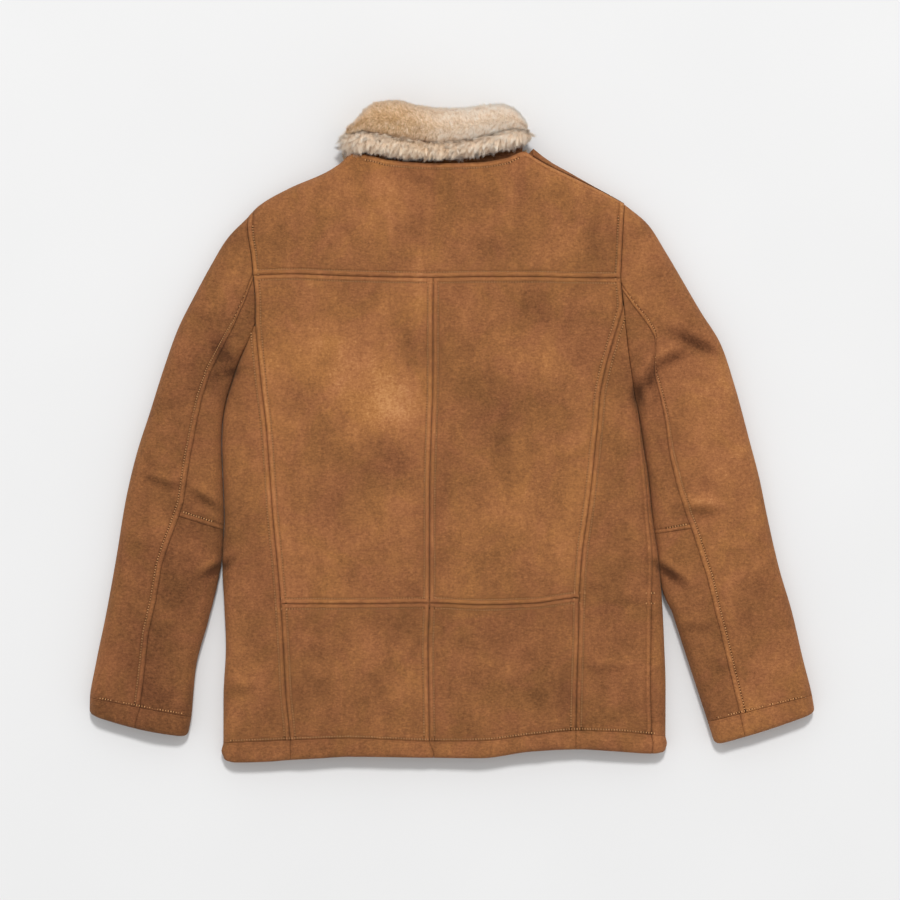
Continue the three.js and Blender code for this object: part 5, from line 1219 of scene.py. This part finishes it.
def collar_leaf(side):
    """Front end of the collar, flat on the ground under the front, wool side down and up alike."""
    leaf = LEAVES[side]
    neck, edge, end, point = (np.array(leaf[k], float) for k in ("neck", "edge", "end", "point"))
    t, s = np.linspace(0, 1, 25)[:, None], np.linspace(0, 1, 17)[None, :]
    sign = -1 if side == "left" else 1
    x = lerp(lerp(neck[0], edge[0], s), lerp(end[0], point[0], s), t) + sign * np.sin(math.pi * t) * LEAF_BOW["out"] * s
    y = lerp(lerp(neck[1], edge[1], s), lerp(end[1], point[1], s), t) - np.sin(math.pi * t) * LEAF_BOW["down"] * s
    rim = 3 * (2 * s - 1) ** 6 + 1.5 * (2 * t - 1) ** 6
    sheet = (points(x, y, 0 * x + 0.0), points(x, y, LEAF_THICK - rim), 0 * x)
    return wall(f"collar_front_{side}", [flipped(sheet) if side == "left" else sheet], wool=True)


# ---- Finishes ----


def colour(code):
    """Linear colour from an sRGB hex value."""
    parts = [int(code[i : i + 2], 16) / 255 for i in (1, 3, 5)]
    return (*(c / 12.92 if c <= 0.04045 else ((c + 0.055) / 1.055) ** 2.4 for c in parts), 1)


def feed(tree, node, inputs):
    """Sets a node's inputs. Each is a value or another node's socket."""
    for key, value in inputs.items():
        if isinstance(value, bpy.types.NodeSocket):
            tree.links.new(value, node.inputs[key])
        else:
            node.inputs[key].default_value = value


def add(tree, kind, inputs, **settings):
    """A new node with its inputs and settings."""
    made = tree.nodes.new(kind)
    for key, value in settings.items():
        setattr(made, key, value)
    feed(tree, made, inputs)
    return made


def new_tree(name):
    """A new material's node tree."""
    made = bpy.data.materials.new(name)
    made.use_nodes = True
    return made, made.node_tree


def dress(tree, tint, roughness, specular=0.1, normal=None, sheen=()):
    """Sets the shader: its colour, how matt it is, its raised grain, and its sheen's weight, roughness and tint."""
    inputs = {"Base Color": tint, "Roughness": roughness, "Specular IOR Level": specular}
    if normal is not None:
        inputs["Normal"] = normal
    inputs.update(zip(("Sheen Weight", "Sheen Roughness", "Sheen Tint"), sheen))
    feed(tree, tree.nodes["Principled BSDF"], inputs)


def attribute(tree, name):
    return add(tree, "ShaderNodeAttribute", {}, attribute_name=name).outputs["Fac"]


def mixed(tree, share, first, second):
    return add(tree, "ShaderNodeMix", {"Factor": share, 6: first, 7: second}, data_type="RGBA").outputs[2]


def bumped(tree, height, strength, millimetres, under=None):
    """Bump from a height, on top of another bump."""
    inputs = {"Height": height, "Strength": strength, "Distance": millimetres * MM}
    return add(tree, "ShaderNodeBump", inputs if under is None else {**inputs, "Normal": under}).outputs[0]


def stops(tree, by, *marks):
    """Colour ramp from places and hex colours."""
    ramp = add(tree, "ShaderNodeValToRGB", {"Fac": by})
    while len(ramp.color_ramp.elements) < len(marks):
        ramp.color_ramp.elements.new(0.5)
    for element, (place, code) in zip(ramp.color_ramp.elements, marks):
        element.position, element.color = place, colour(code)
    return ramp.outputs["Color"]


def weighed(tree, *parts):
    """Sum of values, each less its middle and times its weight."""
    total = None
    for socket, weight, middle in parts:
        centred = add(tree, "ShaderNodeMath", {0: socket, 1: -middle}, operation="ADD").outputs[0]
        scaled = add(tree, "ShaderNodeMath", {0: centred, 1: weight}, operation="MULTIPLY").outputs[0]
        if total is not None:
            scaled = add(tree, "ShaderNodeMath", {0: total, 1: scaled}, operation="ADD").outputs[0]
        total = scaled
    return total


def noise(tree, place, size_mm, detail, rough=0.55, distort=0.0):
    settings = {"Vector": place, "Scale": 1000 / size_mm, "Detail": detail, "Roughness": rough, "Distortion": distort}
    return add(tree, "ShaderNodeTexNoise", settings).outputs["Fac"]


def object_place(tree, scale=(1, 1, 1), turn=0.0):
    place = add(tree, "ShaderNodeTexCoord", {}).outputs["Object"]
    return add(tree, "ShaderNodeMapping", {"Vector": place, "Scale": scale, "Rotation": (0, 0, turn)}).outputs["Vector"]


def brushed_suede():
    """Sheepskin tanned and buffed on its flesh side. The short nap lies one way or another where a hand has brushed
    it, so the eye sees soft light and dark clouds and streaks, a fine speckle, and no gloss."""
    made, tree = new_tree("brushed_sheepskin_suede")
    place = object_place(tree)
    cloud = noise(tree, place, 110, 3, 0.55, 0.6)
    mottle = noise(tree, place, 26, 3, 0.6, 0.5)
    streak = noise(tree, object_place(tree, (1, 0.3, 1), 0.5), 14, 3, 0.6, 0.3)
    nap = noise(tree, place, 3.4, 4, 0.85, 0.4)
    fibre = noise(tree, object_place(tree, (0.4, 1, 1), 0.3), 2.2, 2, 0.8)
    shade = weighed(
        tree, (attribute(tree, "tone"), 1.0, -0.5), (cloud, 0.62, 0.5), (mottle, 0.3, 0.5), (streak, 0.3, 0.5),
        (nap, 0.95, 0.5), (fibre, 0.5, 0.5),
    )
    rosy, olive = (
        stops(tree, shade, *zip((0.0, 0.25, 0.5, 0.75, 1.0), codes.split()))
        for codes in ("#59331F #79492F #925B3B #AC7049 #C68C5F", "#50331A #704A28 #8A5C33 #A7703C #C48C54")
    )
    hue = noise(tree, place, 60, 2, 0.6, 0.8)
    hue = {"Value": hue, "From Min": 0.35, "From Max": 0.65, "To Min": 0.3, "To Max": 0.75}
    tint = mixed(tree, add(tree, "ShaderNodeMapRange", hue).outputs[0], rosy, olive)
    pores = bumped(tree, noise(tree, place, 1.5, 4, 0.7), 0.5, 1.1)
    dress(tree, tint, 0.95, 0.2, bumped(tree, nap, 0.4, 2, pores), (0.18, 0.45, colour("#E0B48A")))
    return made


def sheared_wool():
    """The fleece side of the same skin, combed and sheared short. It is cream, matt and full of small soft curls."""
    made, tree = new_tree("sheared_cream_wool")
    place = object_place(tree)
    curls = noise(tree, place, 5, 4, 0.65, 1.2)
    shade = weighed(tree, (curls, 1.1, 0.5), (noise(tree, place, 40, 3), 0.6, 0.5))
    shade = add(tree, "ShaderNodeMath", {0: shade, 1: 0.5}, operation="ADD").outputs[0]
    tint = stops(tree, shade, (0.1, "#8F7256"), (0.5, "#C9AB88"), (0.9, "#E9D6BC"))
    dress(tree, tint, 1.0, normal=bumped(tree, curls, 0.9, 4))
    return made


def long_wool():
    """Long toscana wool of the collar, washed and combed. Each lock is pale at its tip and brown at its root, partly
    its own colour and partly painted shade deep in the pile, warmer at one end of the collar than the other, with a
    soft silky light on it."""
    made, tree = new_tree("long_combed_wool")
    place, warmth = object_place(tree), attribute(tree, "warmth")
    patch, tuft = noise(tree, place, 22, 3), noise(tree, place, 6, 3, 0.6, 0.8)
    # Depth darkens the roots and the partings between tufts: partly the wool's own colour, partly painted shade deep in
    # the pile.
    depth = weighed(
        tree, (attribute(tree, "tip"), 0.8, 0.0), (patch, 0.5, 0.5), (tuft, 0.9, 0.5), (warmth, -0.12, 0.5)
    )
    golden = stops(tree, depth, (0.0, "#A87C4E"), (0.3, "#DEB080"), (0.6, "#F7D2A8"), (0.95, "#FFEACC"))
    cream = stops(tree, depth, (0.0, "#CEA886"), (0.3, "#FBDEC1"), (0.6, "#FFEEDA"), (0.95, "#FFF7EC"))
    dress(tree, mixed(tree, warmth, cream, golden), 0.75, 0.3, sheen=(0.55, 0.4))
    return made


def wool_base():
    """The skin under the long wool, dense with short pale underwool, seen between the locks."""
    made, tree = new_tree("underwool")
    fine = noise(tree, object_place(tree), 3, 4, 0.7, 0.6)
    cream = stops(tree, fine, (0.3, "#CFAE8C"), (0.7, "#F4DEC4"))
    golden = stops(tree, fine, (0.3, "#AC8050"), (0.7, "#DCB684"))
    dress(tree, mixed(tree, attribute(tree, "tone"), cream, golden), 1.0, normal=bumped(tree, fine, 1.0, 3))
    return made


def waxed_thread():
    """Bonded polyester thread, waxed and pulled into the suede. Each stitch is a small pale tick of the suede's colour,
    and the needle's hole beside it a dark point of painted shade."""
    made, tree = new_tree("waxed_polyester_thread")
    twist = noise(tree, object_place(tree), 1.2, 2)
    pale = stops(tree, twist, (0.3, "#B8804F"), (0.7, "#DDA974"))
    # The dark points are painted shade in the needle holes.
    dark = stops(tree, twist, (0.3, "#2C180B"), (0.7, "#452713"))
    dress(tree, mixed(tree, attribute(tree, "hole"), pale, dark), 0.85)
    return made


def polished_horn():
    """Buffalo horn, sawn, turned and polished. Dark brown with drawn-out paler streaks, and a soft gloss."""
    made, tree = new_tree("polished_buffalo_horn")
    place = object_place(tree, (1, 0.2, 1), 0.4)
    tint = stops(tree, noise(tree, place, 3, 4, 0.6, 1.5), (0.3, "#17100B"), (0.6, "#33231A"), (0.85, "#77583B"))
    dress(tree, tint, 0.33, 0.5, bumped(tree, noise(tree, place, 0.8, 3), 0.15, 0.3))
    return made


def studio_paper():
    """Seamless paper roll, uncoated and matt, in pale grey."""
    made, tree = new_tree("seamless_paper")
    dress(tree, stops(tree, noise(tree, object_place(tree), 300, 2), (0.3, "#E2E2E2"), (0.7, "#E4E4E4")), 0.9)
    return made


suede, clipped_wool, fur, underwool = brushed_suede(), sheared_wool(), long_wool(), wool_base()
thread, horn, paper = waxed_thread(), polished_horn(), studio_paper()
STRAND, DASH = strand_template(), stitch_template()

# ---- The coat ----

for part, top, bottom in (
    ("back_upper", YOKE_Y, WAIST_Y), ("back_lower", WAIST_Y, HEM_SEAM_Y), ("hem_back", HEM_SEAM_Y, HEM_EDGE_Y)
):
    back_panel(f"{part}_left", "princess_left", "centre", top, bottom)
    back_panel(f"{part}_right", "centre", "princess_right", top, bottom)
for side in ("left", "right"):
    side_panel(f"back_side_{side}", side, f"princess_{side}", SIDE_TOP[side], HEM_SEAM_Y)
    side_panel(f"hem_back_side_{side}", side, f"princess_{side}", HEM_SEAM_Y, HEM_EDGE_Y)
    front_panel(f"front_{side}", side, YOKE_Y, HEM_SEAM_Y)
    front_panel(f"hem_front_{side}", side, HEM_SEAM_Y, HEM_EDGE_Y)
yoke_panel()
for side in ("left", "right"):
    elbow, cuff, end = ELBOW[side], CUFF[side], len(SLEEVES[side]["at"]) - 1
    sleeve_piece(f"sleeve_{side}_outer", side, "outer", 0, cuff)
    sleeve_piece(f"sleeve_{side}_under_upper", side, "under", 0, elbow)
    sleeve_piece(f"sleeve_{side}_under_lower", side, "under", elbow, cuff)
    sleeve_piece(f"cuff_{side}_outer", side, "outer", cuff, end)
    sleeve_piece(f"cuff_{side}_under", side, "under", cuff, end)
    collar_leaf(side)

# ---- Stitches ----


def stitch_row(place, length):
    """Stitches along a line: place gives points for lengths along it, and the dashes follow the line and the suede."""
    middle = np.arange(STITCH / 2, length, STITCH)
    ahead, behind = place(middle + 0.9), place(middle - 0.9)
    return (ahead + behind) / 2, unit(ahead - behind)


def body_row(line, offset, top, bottom):
    """A row of stitches beside a vertical seam of the back."""

    def place(run):
        rows = top - run
        x = body_line(line, rows) + offset
        y = body_y(x, rows)
        return back_point(x, y, rows, seam_relief(abs(offset)))[0]

    return stitch_row(place, top - bottom)


def cross_row(level, offset, start, end):
    """A row of stitches beside a seam that goes across the back."""

    def place(run):
        x = start + run
        rows = np.full(x.shape, level + offset)
        relief = seam_relief(abs(offset)) if level != HEM_SEAM_Y else edge_relief(abs(offset))
        return back_point(x, body_y(x, rows), rows, relief)[0]

    return stitch_row(place, end - start)


def sleeve_row(side, start, end, offset):
    """A row of stitches beside a sleeve's back seam."""
    run_of = sleeve_run(side)
    a, b = np.interp([start, end], SLEEVE_STEPS[side], run_of)

    def place(run):
        line = sleeve_line(side, np.interp(a + run, run_of, SLEEVE_STEPS[side]))
        reach = line["seam"] * line["width"] + offset
        return sleeve_point(side, line, reach, "back", seam_relief(SLEEVE_TWIN, SLEEVE_TWIN) - 0.5)[0]

    return stitch_row(place, b - a)


def sleeve_cross_row(side, at, offset, share_from, share_to, relief):
    """A row of stitches across a sleeve."""
    run_of = sleeve_run(side)
    near = np.interp(at, SLEEVE_STEPS[side], run_of) + offset
    line = sleeve_line(side, np.interp([near], run_of, SLEEVE_STEPS[side]))
    width = float(line["width"][0])
    one = {key: value[0] for key, value in line.items()}

    def place(run):
        here = {key: np.broadcast_to(value, (len(run), *np.shape(value))) for key, value in one.items()}
        return sleeve_point(side, here, share_from * width + run, "back", relief)[0]

    return stitch_row(place, (share_to - share_from) * width)


def neck_row():
    """A row of stitches along the yoke's neck edge."""

    def place(run):
        x = NECK_ROW["start"] + run * 0.97
        y = curve(x, TOP, "x", "yoke") - RIM_ROW
        return back_point(x, y, y, -0.7)[0]

    return stitch_row(place, NECK_ROW["length"])


def sew(name, rows, seed):
    """One piece of all the stitches of some rows."""
    at, way = (np.concatenate(part) for part in zip(*rows))
    rng = np.random.default_rng(seed)
    side_way = unit(np.cross(way, (0, 0, 1)) + rng.normal(0, 0.05, way.shape))
    up = np.cross(side_way, way)
    # Every other dash is a dark point of painted shade in a needle hole.
    hole = np.arange(2 * len(at)) % 2
    at, way, side_way, up = (np.repeat(v, 2, axis=0) for v in (at, way, side_way, up))
    at = at + way * (hole * STITCH / 2)[:, None] + up * 0.3
    shape = np.where(hole[:, None], [0.75, 1.3, 0.35], [0.95, 1.1, 0.65])[:, None]
    co = DASH[0][None] * shape * rng.uniform(0.85, 1.15, (len(at), 1, 1))
    places = at[:, None] + co[..., :1] * way[:, None] + co[..., 1:2] * side_way[:, None] + co[..., 2:] * up[:, None]
    return repeated(name, DASH, places, thread, "suede", {"hole": hole[:, None].astype(float)})


body_rows_sewn = []
for line, top, bottom in (
    ("centre", YOKE_Y - 9, WAIST_Y + 7), ("centre", WAIST_Y - 8, HEM_SEAM_Y + 6),
    ("princess_left", SIDE_TOP["left"] - 8, HEM_SEAM_Y + 6), ("princess_right", SIDE_TOP["right"] - 10, HEM_SEAM_Y + 6),
):
    body_rows_sewn += [body_row(line, offset, top, bottom) for offset in (-TWIN, TWIN)]
body_rows_sewn += [body_row("princess_left", TWIN, ROW_TOP["left"], SIDE_TOP["left"] - 8)]
body_rows_sewn += [body_row("princess_right", -TWIN, ROW_TOP["right"], SIDE_TOP["right"] - 10)]
for height, seam in ((YOKE_Y, "yoke"), (WAIST_Y, "waist")):
    body_rows_sewn += [cross_row(height, offset, *ROW_ENDS[seam]) for offset in (-TWIN, TWIN)]
body_rows_sewn += [cross_row(HEM_SEAM_Y, EDGE_ROW, *ROW_ENDS["hem"]), neck_row()]
sew("stitches_back", body_rows_sewn, 5)
sleeve_rows_sewn = []
for side in ("left", "right"):
    sleeve_rows_sewn.append(sleeve_row(side, 0.3, CUFF[side] - 0.1, -SLEEVE_TWIN))
    seam = float(seam_share(side, np.array([ELBOW[side]]))[0])
    sleeve_rows_sewn.append(sleeve_cross_row(side, ELBOW[side], -SLEEVE_TWIN, seam + 0.03, 0.9, -0.7))
    sleeve_rows_sewn.append(sleeve_cross_row(side, CUFF[side], -EDGE_ROW, 0.1, 0.92, -1.8))
sew("stitches_sleeves", sleeve_rows_sewn, 6)

# ---- Collar ----


def gold(x):
    """How golden the wool is along the collar."""
    return 0.95 - 0.92 * smooth((x + 85) / 120)


def pale(x):
    """The same along the lower roll, which is whiter at both ends."""
    return 0.26 + 0.3 * bump(x, -40, 60)


ROLL_ENDS, EDGE_ENDS, STAND_ENDS = (-133, 96), (-138, 99), (-124, 90)
SHORT = {"lay": 0.72, "pull": 0.45, "locks": 12}
SHAGGY = {"lay": 0.8, "pull": 0.85, "locks": 26}
UPPER_COMBS, LOWER_COMBS = ((-0.3, 0.6, 0.1), (-0.25, -1, 0.25)), ((-0.35, -1, -0.1), (-0.3, -1, -0.3))


def collar_sheet(made, area, girth, long, rests_on, wool=()):
    """Takes a collar piece's sizes, what it rests on and its wool, and keeps none of them."""
    min(area, long * girth)
    list(wool)
    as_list(rests_on)


# The stand's suede is darkened as painted shade, for the shadow under the rolls.
stand, _, *stand_size = collar_piece("collar_stand", stand_section, STAND_ENDS, suede, "suede", tone=-0.35)
collar_sheet(stand, *stand_size, ["collar_front_left", "collar_front_right"])
fall, fall_rings, *fall_size = collar_piece("collar_fall", fall_section, ROLL_ENDS, underwool, "fur", tone=gold)
edge, edge_rings, *edge_size = collar_piece("collar_edge", edge_section, EDGE_ENDS, underwool, "fur", tone=pale)
fall_wool, edge_wool = (
    [
        pile(f"wool_{roll}_{part}", rings, count, seed, long, combs, radius, clump, droop, span, warmth)
        for part, rings, seed in halves
    ]
    for roll, halves, count, long, combs, radius, clump, droop, span, warmth in (
        ("roll", (("left", fall_rings[:50], 21), ("right", fall_rings[46:], 22)),
         16400, 5.5, UPPER_COMBS, 0.4, SHORT, 0.05, (4, 32), gold),
        ("edge", (("left", edge_rings[:51], 23), ("right", edge_rings[47:], 24)),
         11000, 11.5, LOWER_COMBS, 0.45, SHAGGY, 0.28, (1, 17), pale),
    )
)
collar_sheet(fall, *fall_size, ["collar_stand"], fall_wool)
collar_sheet(edge, *edge_size, ["collar_stand", "back_yoke"], edge_wool)

for number in range(1, 5):
    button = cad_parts[f"button_{number}"]
    button.data.materials.clear()
    button.data.materials.append(horn)

# ---- Ground, light and camera ----

bm = bmesh.new()
bmesh.ops.create_grid(bm, x_segments=8, y_segments=8, size=3)
ground_mesh = bpy.data.meshes.new("ground")
bm.to_mesh(ground_mesh)
bm.free()
ground_mesh.materials.append(paper)
ground = bpy.data.objects.new("ground", ground_mesh)
bpy.context.scene.collection.objects.link(ground)


def soft_light(name, place, size, watts):
    """A round lamp as wide as a window, turned to the coat."""
    light = bpy.data.lights.new(name, "AREA")
    light.shape, light.size, light.energy = "DISK", size, watts
    made = bpy.data.objects.new(name, light)
    made.location = place
    made.rotation_euler = (-Vector(place)).to_track_quat("-Z", "Y").to_euler()
    bpy.context.scene.collection.objects.link(made)


soft_light("window", (0.5, 6.9, 12.3), 2.1, 1135)
world = bpy.data.worlds.new("studio")
world.use_nodes = True
world.node_tree.nodes["Background"].inputs["Color"].default_value = colour("#FFFFFF")
world.node_tree.nodes["Background"].inputs["Strength"].default_value = 0.65
bpy.context.scene.world = world
bpy.context.scene.view_settings.view_transform = "Standard"

SENSOR, LENS = 36, 140
VIEW = {"x": -2.56, "y": -23.68, "z": 20, "wide": 1152}  # middle and width of what the camera sees, at that height
camera_data = bpy.data.cameras.new("camera")
camera_data.sensor_width, camera_data.lens = SENSOR, LENS
camera_data.clip_end = 20
camera = bpy.data.objects.new("camera", camera_data)
camera.location = (VIEW["x"] * MM, VIEW["y"] * MM, (VIEW["z"] + VIEW["wide"] * LENS / SENSOR) * MM)
bpy.context.scene.collection.objects.link(camera)
bpy.context.scene.camera = camera
